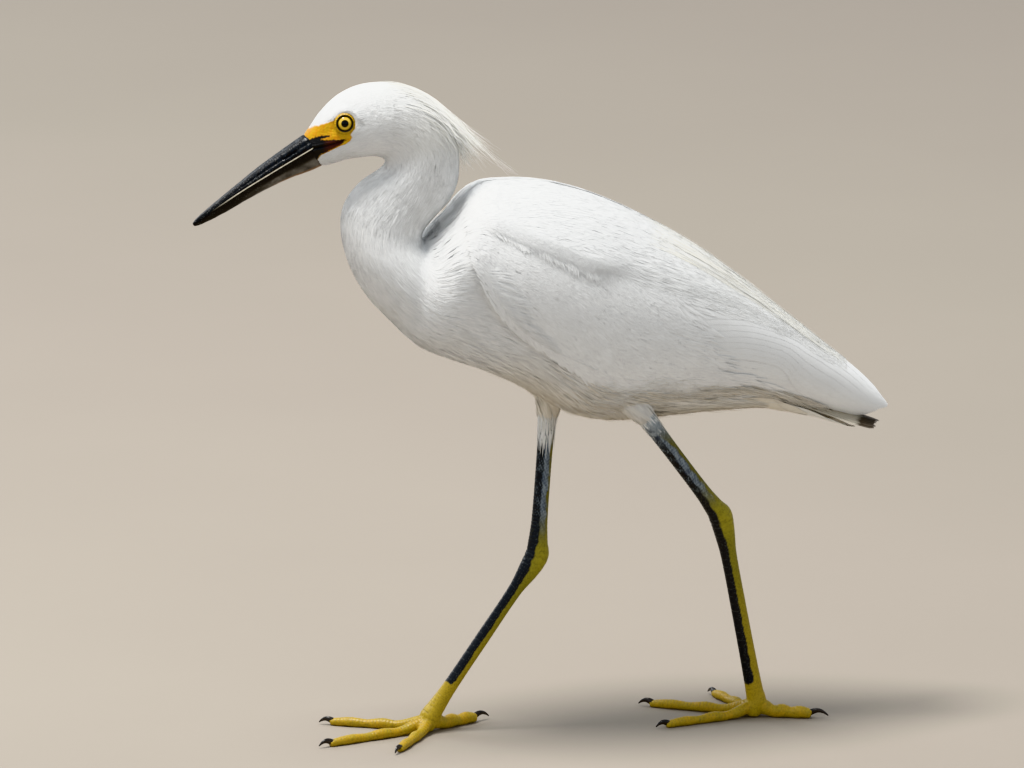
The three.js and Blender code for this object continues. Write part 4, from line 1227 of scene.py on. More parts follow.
def fold_coat():
    """Short feathers that turn down over the rounded fold of the shoulder."""
    count = FOLD_FEATHERS
    side = both_sides(count)
    u = rng.uniform(27, 112, count)
    kept = rng.uniform(size=count) < fold_share(u)
    u, side = u[kept], side[kept]
    count = len(u)
    inside = rng.uniform(-0.2, 9.5, count)
    angle = column(SCAPULAR, u) - inside / MM_PER_DEGREE
    outer = smooth(1 - inside / 9.5)
    drift = lerp(0.35, 0.95, outer) * lerp(0.45, 1, fold_share(u)) + 0.09 * rng.normal(size=count)
    length = lerp(8, 4, outer) * rng.uniform(0.75, 1.25, count)
    comb(
        "coat_fold", u, angle, side, length, 0.5, mantle_rise, (-0.35, 0.22), drift, STRAND, white_tint(count)
    )


def fold_fringe():
    """Small loose tufts along the lower edge of the fold, whose tips hang free over the wing."""
    tufts, each = FRINGE_TUFTS
    count = tufts * each
    side = np.repeat(both_sides(tufts), each)
    u = tufted(rng.uniform(30, 108, tufts), each, 1.6)
    out = tufted(rng.uniform(1.5, 5.5, tufts), each, 0.6)
    angle = column(SCAPULAR, u) - out / MM_PER_DEGREE
    drift = tufted(rng.normal(0.75, 0.22, tufts), each, 0.14)
    length = np.repeat(rng.uniform(3.5, 6.5, tufts), each) * rng.uniform(0.6, 1.1, count)
    length = length * lerp(0.5, 1, fold_share(u))

    def held(at, turned):
        return mantle_rise(at, np.minimum(turned, column(SCAPULAR, at) - 2.2))

    comb(
        "coat_fringe", u, angle, side, length, 0.42, held, (0.0, -0.7), drift, STRAND, white_tint(count),
        gleam=0.08,
    )


def covert_rise(u, _):
    """Height of the small feathers over the wing's face, the same everywhere."""
    return np.full_like(u, 0.1)


def shoulder_coat():
    """Small soft feathers on the front of each closed wing, which hide the roots of its large feathers."""
    count = SHOULDER_FEATHERS
    side = both_sides(count)
    angle = rng.uniform(30, 120, count)
    behind = 46 * rng.uniform(size=count) ** 0.85
    u = column(WING_FRONT, angle) + behind + 0.4
    place = wing_point(u, angle, 0.0, side)
    onward = smooth(behind / 26)
    drift = 0.10 * rough_noise(place, 16, 83) + 0.04 * rng.normal(size=count)
    drift = drift + 0.2 + 0.5 * smooth(1 - behind / 20) * smooth((angle - 40) / 25)
    comb(
        "coat_wing", u, angle, side, lerp(5, 13, onward), lerp(0.7, 1.6, onward), covert_rise, (-0.4, 0.04),
        np.minimum(drift, 0.9), LONG, white_tint(count),
        gleam=0.03, curl=0.1, lean=0.04 * rough_noise(place, 5, 87),
    )


def covert_coat():
    """Wider soft feathers that blur the rows of coverts behind the shoulder."""
    count = COVERT_FEATHERS
    side = both_sides(count)
    angle = rng.uniform(45, 119, count)
    behind = rng.uniform(30, 135, count)
    kept = rng.uniform(size=count) < smooth((140 - behind) / 60)
    angle, behind, side = angle[kept], behind[kept], side[kept]
    count = len(side)
    u = column(WING_FRONT, angle) + behind
    place = wing_point(u, angle, 0.0, side)
    ripple = rough_noise(np.stack([u, angle * 0.2, 20 * side], -1), 5.5, 88)
    drift = 0.22 + 0.35 * rough_noise(place, 18, 89) + 0.08 * rng.normal(size=count)
    comb(
        "coat_covert", u, angle, side, rng.uniform(14, 23, count), rng.uniform(1.8, 2.8, count), covert_rise,
        (-0.42, -0.04), drift, SOFT, white_tint(count), gleam=0.02, curl=0.08, lean=0.055 * ripple,
    )


def flank_coat():
    """Loose tufts of the flank that hang over the lower edge of each wing."""
    tufts, each = FLANK_TUFTS
    count = tufts * each
    side = np.repeat(both_sides(tufts), each)
    tuft_u = rng.uniform(90, 186, tufts)
    front = tuft_u < FLANK_MIDDLE
    u = tufted(tuft_u, each, 2.2)
    angle = tufted(np.where(front, rng.uniform(122, 138, tufts), rng.uniform(113, 127, tufts)), each, 2.2)
    drift = tufted(np.where(front, rng.normal(-0.04, 0.10, tufts), rng.normal(0.42, 0.16, tufts)), each, 0.06)
    tuft_length = np.where(front, rng.uniform(18, 32, tufts), rng.uniform(11, 22, tufts))
    length = np.repeat(tuft_length, each) * rng.uniform(0.7, 1.1, count)
    # Painted shade: a random share of it for each feather, as the flank lies below the wing.
    tint = blend(WHITE, SHADE, rng.uniform(0.0, 0.4, count))
    comb("coat_flank", u, angle, side, length, 0.5, covert_rise, (-1.8, 0.3), drift, SOFT, tint, gleam=0.08)


def vent_coat():
    """Loose tufts under the rear of the body."""
    tufts, each = VENT_TUFTS
    count = tufts * each
    side = np.repeat(both_sides(tufts), each)
    u = tufted(rng.uniform(96, 232, tufts), each, 2.5)
    angle = tufted(rng.uniform(128, 178, tufts), each, 3)
    drift = tufted(rng.normal(0.10, 0.12, tufts), each, 0.07)
    length = np.repeat(rng.uniform(13, 24, tufts), each) * rng.uniform(0.7, 1.1, count)
    tip = tufted(rng.uniform(0.4, 2.0, tufts), each, 0.3)
    # Painted shade under the body: a random share of it for each feather.
    tint = blend(WHITE, SHADE * 0.92, rng.uniform(0.2, 0.8, count))
    comb("coat_vent", u, angle, side, length, 0.55, covert_rise, (-1.8, tip), drift, SOFT, tint, gleam=0.07)


# Large feathers, and the outlines of their vanes: share of the length, share of the width.
VANE_SHAPE = [[0, 0.6], [0.2, 0.85], [0.55, 1], [0.82, 0.93], [0.93, 0.7], [0.98, 0.4], [1, 0.14]]
SOFT_TIP = [[0, 0.6], [0.3, 0.95], [0.6, 1], [0.85, 0.8], [0.95, 0.5], [1, 0.15]]
POINTED = [[0, 0.6], [0.25, 0.95], [0.5, 1], [0.75, 0.75], [0.92, 0.36], [1, 0.05]]


def vane(place, path, widths, heights, side, tilt=0.1, thick=0.06, columns=8, shape=VANE_SHAPE, camber=0.10):
    """One feather over a surface, along a path of (distance, angle) rows: points, quads, normals and maps."""
    stations = len(path) - 1
    share = np.linspace(0, 1, stations + 1)[:, None]
    across = np.linspace(-1, 1, columns + 1)[None]
    frayed = 1 + 0.03 * rng.normal(size=(stations + 1, 1)) * (share > 0.2)
    wide = column(shape, share[:, 0])[:, None] * frayed
    reach = lerp(widths[0], widths[1], share) / 2 * wide
    rachis = 0.07 * bell(across, 0.09) * (1 - share)
    settled = 0.12 * smooth((share - 0.85) / 0.15)
    crown = camber * (1 - across**2)
    height = lerp(heights[0], heights[1], share) + tilt * wide * across + crown + rachis - settled
    shift = reach * across
    top = place(path[:, :1], path[:, 1:], shift, height)
    bottom = place(path[:, :1], path[:, 1:], shift, height - thick)
    out = unit(np.cross(np.gradient(top, axis=0), np.gradient(top, axis=1))) * side
    rings = sheet_rings(top, bottom)
    normals = sheet_rings(out, -out)
    sides = rings.shape[1]
    c = np.arange(columns)
    root_cap = np.stack([c + 1, c, sides - 1 - c, sides - 2 - c], -1)
    tip_cap = stations * sides + np.stack([c, c + 1, sides - 2 - c, sides - 1 - c], -1)
    length = np.linalg.norm(np.diff(top[:, columns // 2], axis=0), axis=1).sum()
    ring_across = np.concatenate([across[0], across[0, ::-1]])
    barbs = np.stack([reach * ring_across, np.broadcast_to(share * length, (stations + 1, sides))], -1)
    return {
        "points": rings.reshape(-1, 3),
        "quads": np.concatenate([ring_quads(stations + 1, sides), root_cap, tip_cap]),
        "normals": normals.reshape(-1, 3),
        "barbs": barbs.reshape(-1, 2),
        "patch": map_patch(ring_across, share).reshape(-1, 2),
        "share": np.repeat(share[:, 0], sides),
    }


def on_wing(side):
    """Wing surface for a feather: shift is a distance round the body, in millimetres, down from the angle."""

    def place(u, angle, shift, height):
        u, angle, shift, height = np.broadcast_arrays(u, angle, shift, height)
        two_degrees = wing_point(u, angle - 1, 0.0, side) - wing_point(u, angle + 1, 0.0, side)
        step = np.linalg.norm(two_degrees, axis=-1) / 2
        return wing_point(u, angle + shift / step, height, side)

    return place


class Plumage:
    """Large feathers gathered into one piece, each with its place on the map and its colour."""

    def __init__(self):
        self.vanes, self.places, self.tints = [], [], []

    def add(self, made, place, tint):
        self.vanes.append(made)
        self.places.append(place)
        self.tints.append(np.broadcast_to(tint, made["points"].shape))

    def join(self, name, *replaced):
        vanes = self.vanes
        keys = ("points", "normals", "barbs")
        points, normals, barbs = (np.concatenate([v[key] for v in vanes]) for key in keys)
        before = np.cumsum([0] + [len(v["points"]) for v in vanes[:-1]])
        quads = np.concatenate([v["quads"] + shift for v, shift in zip(vanes, before)])
        patches = np.concatenate([v["patch"] + place for v, place in zip(vanes, self.places)])
        made = quad_object(name, points, quads)
        face_outwards(made)
        set_normals(made, normals)
        set_uv(made, "OFBake", np.clip(patches, 0, 1))
        set_uv(made, "Barbs", barbs * 0.01)
        set_tint(made, np.concatenate(self.tints))
        dress(made, vane_material, "plumage", *replaced)


# Coverts from the front of the wing back: count, start behind its front edge, length, first and last angle,
# width.
COVERTS = [
    (24, 14, 24, 118, 44, 7), (23, 26, 28, 118, 46, 7.5), (21, 39, 34, 119, 48, 8.5),
    (19, 54, 46, 120, 50, 10),
]


def wing_feathers(name, side):
    feathers = Plumage()

    def add(path, widths, heights, **options):
        made = vane(on_wing(side), path, widths, heights, side, **options)
        feathers.add(made, wing_uv(*path[0], side), WHITE * (1 + 0.012 * rng.normal()))

    # The panel of outer feathers, and the outermost three below it.
    for share in shares(8):
        u = np.linspace(130, column(PANEL_TIPS, share), 31)
        upper, lower = np.moveaxis(along(PANEL, u), -1, 0)
        level = -0.3 + 0.3 * share
        add(np.stack([u, lerp(lower, upper, share)], -1), (8.5, 9.5), (level - 0.4, level), tilt=0.16)
    for i in range(3):
        u = np.linspace(176, 262 - 5 * i, 21)
        angle = lerp(105 + 4 * i, 121 + 6 * i, (u - 176) / 86)
        add(np.stack([u, angle], -1), (9, 9), (-1.5, -1.3), tilt=0.05)
    # The inner flight feathers, and those that cover them near the back.
    for share in shares(14):
        tip_u, tip_angle = along(SECONDARY_TIPS, share)
        root_angle = lerp(113, 36, share)
        root_u = column(WING_FRONT, root_angle) + 70
        t = np.linspace(0, 1, 29)
        turned = lerp(root_angle, tip_angle, smooth(t * 1.1 - 0.05))
        add(np.stack([lerp(root_u, tip_u + rng.normal(0, 1.6), t), turned], -1), (9.5, 10.5), (-1.3, -0.55))
    for share in shares(5):
        t = np.linspace(0, 1, 25)
        angle = lerp(lerp(42, 10, share), lerp(46, 12, share), t)
        add(np.stack([lerp(120, lerp(226, 248, share), t), angle], -1), (10, 9.5), (-1.0, -0.3))
    # The rows of coverts, and the three small feathers of the thumb.
    t = np.linspace(0, 1, 15)
    for count, start, length, low, high, width in COVERTS[::-1]:
        for share in shares(count):
            angle = lerp(low, high, share) + rng.normal(0, 0.4)
            u = column(WING_FRONT, angle) + start + rng.normal(0, 1.5)
            drop = 4.5 * smooth((angle - 90) / 26)
            path = np.stack([u + t * (length + rng.normal(0, 3.5)), angle + drop * t * t], -1)
            add(path, (width, width), (-1.5, -0.85), columns=6, tilt=0.05)
    t = np.linspace(0, 1, 13)
    for i in range(3):
        angle = 117.5 - 2.5 * i
        u = column(WING_FRONT, angle) + 8
        add(np.stack([u + t * (30 - 4 * i), angle + 6 * t * t], -1), (4.5, 5), (-1.3, -0.2), columns=6)
    feathers.join(f"feathers_{name}", f"wing_{name}")


# Scapulars by tier: where they start and stop, count on each side, angle of the innermost and the outermost.
SCAPULAR_TIERS = [
    (70, 124, 9, 8, 55), (96, 156, 10, 5, 54), (126, 192, 10, 4, 50), (150, 218, 9, 3, 46),
    (168, 246, 6, 3, 26),
]


def scapulars():
    """Lance-shaped feathers that run back from the shoulders over the folded wings."""
    feathers = Plumage()
    t = np.linspace(0, 1, 19)
    for _, side in SIDES:
        for start, stop, count, inner, outer in SCAPULAR_TIERS:
            for i in range(count):
                angle = lerp(outer, inner, (i + 0.5) / count)
                last = stop + rng.normal(0, 4) - 10 * angle / 55
                u = lerp(start + rng.normal(0, 3), last, t)
                path = np.stack([u, angle - 2 * t + rng.normal(0, 0.8) * t], -1)
                level = 0.8
                if last < SCAPULAR_END:
                    level = float(mantle_rise(np.array(last), np.array(angle)))
                made = vane(
                    on_wing(side), path, (6.5, 7), (level - 1.0, level - 0.3), side,
                    tilt=0.06, columns=6, shape=POINTED,
                )
                feathers.add(made, wing_uv(start, angle, side), WHITE * (1 + 0.01 * rng.normal()))
    feathers.join("feathers_scapular", "mantle")


TAIL_START = 218
TAIL_BASE = 226
TAIL_TIP = 285


def on_tail(side):
    """Surface of the folded tail: its feathers' paths run in distance along the trunk and distance aside."""

    def place(u, y, shift, height):
        u, y, shift, height = np.broadcast_arrays(u, y, shift, height)
        run = (u - TAIL_BASE) / (TAIL_TIP - TAIL_BASE)
        at = y + shift * side
        return trunk_point(u, lerp(-2.6, -4.2, run) + height - 0.014 * at * at, at)

    return place


def tail():
    feathers = Plumage()
    t = np.linspace(0, 1, 22)
    for row_share in shares(12):
        share = lerp(-1, 1, row_share)
        side = LEFT if share < 0 else RIGHT
        rank = 1.3 * (1 - abs(share)) - 0.4
        last = TAIL_TIP - 4 * abs(share) + rng.normal(0, 0.5)
        path = np.stack([lerp(TAIL_START, last, t), lerp(share * 6, share * 10.5, t)], -1)
        made = vane(on_tail(side), path, (6, 8.5), (rank, rank), side, tilt=0.15)
        # Painted shade: the tail's feathers, under the wings' tips, are tinted SHADE * 0.8 and darken to a
        # dark brown tip.
        dark = smooth((made["share"] - 0.8) / 0.05) * (0.95 if share < 0.3 else 0.5)
        feathers.add(made, np.array([0.96, 0.5 + share * 0.1]), blend(SHADE * 0.8, TAIL_TIP_BROWN, dark))
    feathers.join("feathers_tail", "tail")


# Underside of the tail by distance along the trunk: its level, and how much it curves up to the sides.
UNDERTAIL_LEVEL = (
    [172, 186, 200, 218, 234, 248, 260, 270, 280],
    [-27.5, -23.5, -18.6, -13.2, -11.7, -10.6, -10.6, -10.8, -9.5],
)
UNDERTAIL_CURVE = ([172, 200, 220, 240, 262, 280], [0.025, 0.045, 0.055, 0.05, 0.03, 0.02])
# Its tiers of feathers: where they start and stop, count, and how far they spread to each side.
UNDERTAIL_TIERS = [
    (222, 273, 7, 6.5), (206, 262, 9, 9), (192, 246, 11, 11), (180, 230, 11, 13), (166, 214, 11, 15),
]


def under_tail(side):
    """Surface below the tail, in the same terms as on_tail, with heights that grow downwards."""

    def place(u, y, shift, height):
        u, y, shift, height = np.broadcast_arrays(u, y, shift, height)
        at = y + shift * side
        curve = np.interp(u, *UNDERTAIL_CURVE)
        return trunk_point(u, np.interp(u, *UNDERTAIL_LEVEL) - height + curve * at * at, at)

    return place


def undertail():
    """Soft white feathers from the vent back under the tail."""
    feathers = Plumage()
    t = np.linspace(0, 1, 17)
    for row, (start, stop, count, spread) in enumerate(UNDERTAIL_TIERS):
        for row_share in shares(count):
            share = lerp(-1, 1, row_share)
            side = RIGHT if share < 0 else LEFT
            last = stop - 6 * abs(share) + rng.normal(0, 3)
            path = np.stack([lerp(start, last, t), share * spread * lerp(1, 0.75, t)], -1)
            made = vane(
                under_tail(-side), path, (5, 5.5), (-1.2, 0.1 + 0.06 * row), side,
                tilt=0.08, columns=6, shape=SOFT_TIP,
            )
            # Painted shade, strongest on the feathers that end furthest forward under the body.
            shade = 0.75 * (1 - smooth((path[-1, 0] - 232) / 34))
            place = np.array([start / WING_MAP_SIZE, 0.03 + 0.02 * share])
            feathers.add(made, place, lerp(WHITE, SHADE, shade))
    feathers.join("feathers_undertail")


# Fine plumes, each a tapered strip along a curve.


def strands(name, curves, widths, facing, tints, uv_places):
    """Tapered strips through curves of points (strand, station, 3), turned to face outwards."""
    count, stations = curves.shape[:2]
    t = np.linspace(0, 1, stations)
    taper = (1 - t**2.5) * 0.9 + 0.1
    level = unit(np.cross(facing, unit(np.gradient(curves, axis=1))))
    aside = level * (widths[:, None] / 2 * taper)[..., None]
    points = np.stack([curves - aside, curves + facing * 0.1 * taper[None, :, None], curves + aside], 2)
    made = quad_object(name, points.reshape(-1, 3), blade_quads(count, stations, 3))
    shade_smooth(made)
    lean = np.array([-0.4, 0.0, 0.4])[:, None]
    set_normals(made, unit(facing[:, :, None] + level[:, :, None] * lean))
    patch = map_patch(np.tile([-1.0, 0.0, 1.0], stations), np.repeat(t, 3))
    set_uv(made, "OFBake", np.clip((uv_places[:, None] + patch).reshape(-1, 2), 0, 1))
    set_tint(made, np.repeat(tints, stations * 3, axis=0))
    dress(made, feather_material, "plumage")


def curve_through(control, stations):
    """Smooth curves through a few control points each: (strand, control point, 3)."""
    rows = control.shape[1]
    apart = np.linalg.norm(np.diff(control, axis=1), axis=2).mean(0)
    knots = np.concatenate([[0], np.cumsum(apart)])
    t = np.linspace(0, knots[-1], stations)
    flat = np.moveaxis(control, 1, 0).reshape(rows, -1)
    return np.moveaxis(along(np.column_stack([knots, flat]), t).reshape(stations, -1, 3), 0, 1)


def back_plumes():
    """Loose plumes along the rear of the back, of which a few stand free at their tips."""
    count = BACK_PLUMES
    side = both_sides(count)
    angle = 34 * rng.uniform(size=count) ** 0.9
    start = rng.uniform(120, 205, count)
    length = rng.uniform(30, 62, count)
    length = np.minimum(length, 268 - start - angle * 0.5)
    place = wing_point(start, angle, 0.0, side)
    drift = 0.035 * rng.normal(size=count) + 0.05 * rough_noise(place, 12, 84) - 0.03

    def rise(u, turned):
        return mantle_rise(u, np.minimum(turned, column(SCAPULAR, u) - 5)) + 0.05

    free = np.where(rng.uniform(size=count) < 0.06, 1.2, 0.2)
    comb(
        "plumes_back", start, angle, side, length, rng.uniform(0.25, 0.45, count), rise, (0.0, free), drift,
        PLUME, white_tint(count, rng.uniform(0.0, 0.6, count)), gleam=0.12,
    )


def crest():
    """A short bushy crest: slender plumes that lie along the nape, part from it and hang behind the neck."""
    count = CREST_PLUMES
    outer = rng.uniform(size=count)
    at = lerp(8.0, 5.0, outer) + rng.normal(0, 0.4, count)
    turn = rng.normal(0, 0.5, count) * lerp(1.2, 0.7, outer)
    root = neck_surface(at, turn, -0.9)
    up = neck_ring(at)[1]
    parting = np.maximum(lerp(9.4, 7.9, outer), at + 0.8)
    lying = []
    for t in (0.3, 0.65, 1.0):
        where = lerp(at, parting, t)
        clear = (0.1 + 0.6 * t * outer + rng.uniform(0, 0.8, count) * t)[:, None]
        lying.append(neck_surface(where, turn * lerp(1, 0.75, t), 0.0) + neck_ring(where)[1] * clear)
    start = lying[-1]
    inner_tip = np.array([-42.5, 0, 316.5])
    outer_tip = np.array([-24.5, 0, 326.0])
    tip = lerp(inner_tip, outer_tip, outer[:, None] ** 0.8) + rng.normal(0, 2.4, (count, 3)) * [1, 0, 1]
    longest = (rng.uniform(size=count) < 0.03) & (outer > 0.4)
    far = np.array([-14.0, 0, 315.0]) + rng.normal(0, 2.2, (count, 3)) * [1, 0, 0.5]
    tip = np.where(longest[:, None], far, tip)
    tip[:, 1] = turn * 6 + rng.normal(0, 1.6, count)
    reach = np.where(longest, 1.0, rng.uniform(0.35, 1.0, count) ** 0.8)[:, None]
    tip = start + (tip - start) * reach
    sag = np.array([-0.3, 0, -0.8]) * lerp(0.2, 1.2, rng.uniform(size=(count, 1))) * reach
    hanging = (lerp(start, tip, 0.33) + sag * 0.4, lerp(start, tip, 0.67) + sag, tip)
    control = np.stack([root, *lying, *hanging], 1)
    curves = curve_through(control, 22)
    facing = np.broadcast_to(unit(np.sign(turn)[:, None] * ACROSS * 0.8 + up)[:, None], curves.shape)
    tints = white_tint(count, rng.uniform(0.0, 0.5, count))
    uv = body_uv(at / NECK_END, turn, NECK_MAP)
    strands("plumes_crest", curves, rng.uniform(0.15, 0.34, count), facing, tints, uv)


# Bill.


def bill_colours(points, is_upper, at, level, high):
    """Black with painted glints; on the upper half a painted bluish sheen and a pale cutting edge, and on the
    lower one a worn grey root.
    """
    share = (at / BILL_LENGTH)[:, None]
    black = np.broadcast_to(BLACK, points.shape)
    # Painted highlights: small pale specks over the horn.
    painted_glints = smooth((rough_noise(points, 0.9, 34) - 0.62) / 0.2) * smooth((share + 0.3) / 0.8)
    if is_upper:
        pale = smooth((0.72 - high) / 0.16) * smooth((share + 0.02) / 0.03) * smooth((0.86 - share) / 0.25)
        # Painted sheen: bluish mottling over most of the upper half, fading towards the tip.
        mottled = smooth(0.4 + 0.5 * rough_noise(points, 3, 33))
        black = blend(black, PAINTED_BLUE_SHEEN, mottled * 0.8 * smooth((0.7 - share) / 0.4))
        black = blend(black, UPPER_PAINTED_GLINT, 0.5 * painted_glints)
        return blend(black, HORN_EDGE_PALE, 0.97 * pale)
    worn = smooth((0.66 - share) / 0.35) * smooth((level - 0.34) / 0.2) * smooth((share + 0.01) / 0.03)
    streaks = np.stack(np.broadcast_arrays(at[:, None] * 0.3, level * 7, 0.2 * points[..., 1]), -1)
    grey = blend(WORN_DARK, WORN_GREY, smooth(0.5 + 0.4 * rough_noise(streaks, 4.0, 35)))
    brown = smooth((level - 0.78) / 0.15) * smooth((0.45 - share) / 0.2)
    grey = blend(grey, WORN_BROWN, brown)
    return blend(blend(black, grey, 0.9 * worn), LOWER_PAINTED_GLINT, 0.35 * painted_glints)


def bill_half(name, up):
    """One half of the bill with its ridge, side groove and nostril. up is 1 for the upper half, else -1."""
    is_upper = up > 0
    at = np.concatenate([[-3.2, -2.6, -1.8, -1, -0.3, 0.5], np.linspace(1.4, BILL_LENGTH, 170)])
    above, below, wide = np.moveaxis(along(BILL, at), -1, 0)
    gape = column(GAPE, at)
    inset = 1.5 * (1 - smooth((at + 3.2) / 4.5))
    deep = np.maximum((above - gape if is_upper else below + gape) - inset, 0.3)
    middle = np.maximum(wide - inset, 0.3)
    spacing = np.linspace(0, 1, 64)
    turn = math.pi * (spacing - 0.14 * np.sin(math.tau * spacing))
    fullness = 1.12 if is_upper else 1.0
    high = np.sin(turn)[None] ** (1 / fullness) * deep[:, None]
    aside = power(np.cos(turn), 1.15)[None] * middle[:, None]
    share = (at / BILL_LENGTH)[:, None]
    level = high / deep[:, None]
    if is_upper:
        slit = smooth((at[:, None] - 7.5) / 1.5) * smooth((17.5 - at[:, None]) / 2)
        relief = -0.5 * bell(level - 0.56, 0.11) * smooth((0.75 - share) / 0.35)
        relief += 0.12 * bell(level - 0.3, 0.1) * smooth((0.6 - share) / 0.3)
        relief -= 0.8 * bell(level - 0.5, 0.06) * slit
    else:
        relief = -0.3 * bell(level - 0.45, 0.12) * smooth((0.7 - share) / 0.4)
    high = high + relief * np.sin(turn)
    aside = aside + relief * np.cos(turn)
    half_gap = 0.1
    points = (
        BILL_ROOT
        + at[:, None, None] * BILL_ALONG
        + (gape[:, None] + up * (high + half_gap))[..., None] * BILL_UP
        + aside[..., None] * ACROSS
    )
    grain = 0.03 * rough_noise(points, 1.3, 31) + 0.06 * rough_noise(points * [1, 1, 3], 5, 32)
    normal = unit(up * np.sin(turn)[:, None] * BILL_UP + np.cos(turn)[:, None] * ACROSS)
    points = points + normal * (grain * (1 - bell(level, 0.05)))[..., None]
    made = new_object(f"{name}_horn", *loft(points))
    face_outwards(made)
    colours = bill_colours(points, is_upper, at, level, high)
    set_tint(made, np.concatenate([colours.reshape(-1, 3), BLACK[None], BLACK[None]]))
    dress(made, horn_material, "bill", name)


# Eyes and lids.


def round_eye(side, high, off, turn):
    """Points round an eye: height along its axis, distance from the axis and angle round it."""
    axis = eye_axis(side)
    first = unit(np.cross(axis, [0.0, 0.0, 1.0]))
    second = np.cross(axis, first)
    return (
        eye_centre(side)
        + high[..., None] * axis
        + (off * np.cos(turn))[..., None] * first
        + (off * np.sin(turn))[..., None] * second
    )


def eyeball(name, side):
    polar = np.linspace(0.012, 2.0, 70)[:, None]
    turn = full_turn(96)[None]
    radius = EYE_RADIUS + 0.35 * bell(polar, 0.55)
    r = radius * np.sin(polar)
    points = round_eye(side, radius * np.cos(polar) * np.ones_like(turn), r, turn)
    made = new_object(f"eyeball_{name}", *loft(points))
    face_outwards(made)
    rays = 0.5 + 0.5 * np.sin(turn * 37 + 2 * np.sin(turn * 5)) * np.ones_like(r)
    gold = blend(blend(IRIS, IRIS_RAY, rays), IRIS_RIM, smooth((r - 3.1) / 0.5))
    colour = blend(PUPIL, gold, smooth((r - 1.98) / 0.16))
    colour = blend(colour, EYE_MARGIN, smooth((r - 3.5) / 0.18))
    set_tint(made, np.concatenate([colour.reshape(-1, 3), PUPIL[None], PUPIL[None]]))
    dress(made, eye_material, "eye", f"eye_{name}")


def lids(name, side):
    """The ring of bare skin round the eye: a dark wet margin inside, and folded yellow skin outside with
    painted shade in its creases.
    """
    turn = full_turn(160)
    profile = full_turn(28)
    folds = 0.10 * np.sin(turn * 23 + 1.5 * np.sin(turn * 3)) + 0.06 * np.sin(turn * 41)
    r = 4.85 + 0.95 * np.cos(profile)[None] + 0.05 * np.sin(2 * turn)[:, None]
    outer = np.cos(profile)[None]
    bulge = 0.62 + 0.16 * np.cos(3 * profile)[None] * (outer > -0.4)
    creased = folds[:, None] * smooth((outer + 0.4) / 0.6)
    h = 4.12 + bulge * np.sin(profile)[None] + creased - 0.35 * smooth(outer)
    points = round_eye(side, h, r, turn[:, None]).reshape(-1, 3)
    quads = ring_quads(len(turn) + 1, len(profile)) % len(points)
    made = quad_object(f"lids_{name}", points, quads)
    face_outwards(made)
    off = r.reshape(-1)
    yellow = blend(YELLOW, LID_OLIVE, smooth(0.2 + rough_noise(points, 1.6, 41)))
    # Painted shade in the creases of the lid and along its outer edge, stronger towards the rear.
    crease = bell(off - 5.25, 0.1) + smooth((off - 5.62) / 0.15)
    rear = 0.5 + 0.5 * side * np.repeat(np.cos(turn), len(profile))
    yellow = yellow * (1 - (0.35 + 0.45 * rear) * np.clip(crease, 0, 1))[:, None]
    set_tint(made, blend(yellow, LID_MARGIN, smooth((4.95 - off) / 0.2)))
    dress(made, lid_material, "foot_skin")


# Legs, with the length of one scute on the tarsus and on a toe.
SCUTE = 4.4
TOE_SCUTE = 1.9


def limb_coords(points, path):
    """Place of each point on a limb: distance along, angle round, distance from the axis over the radius."""
    centre, up, across = path["centre"], path["up"], path["across"]
    best = []
    for part in np.array_split(points, max(1, len(points) // 6000)):
        offset = part[:, None] - centre
        i = (offset**2).sum(-1).argmin(1)
        k = np.arange(len(part))
        o = offset[k, i]
        high = (o * up[i]).sum(-1)
        aside = (o * across[i]).sum(-1)
        off = np.linalg.norm(o, axis=1) / np.maximum(path["deep"][i], path["wide"][i])
        past = np.clip((o * path["ahead"][i]).sum(-1), -0.5, 0.5)
        best.append(np.stack([path["at"][i] + past, np.arctan2(aside, high), off]))
    return np.concatenate(best, 1)


def plates(x, y, wide, tall):
    """Height of rows of staggered plates, from 0 in the grooves to 1 on each plate."""
    row = np.floor(y / tall)
    fx = np.abs((x / wide + 0.5 * (row % 2)) % 1 - 0.5) * 2
    fy = np.abs((y / tall) % 1 - 0.5) * 2
    return smooth((1 - fx) / 0.22) * smooth((1 - fy) / 0.25)


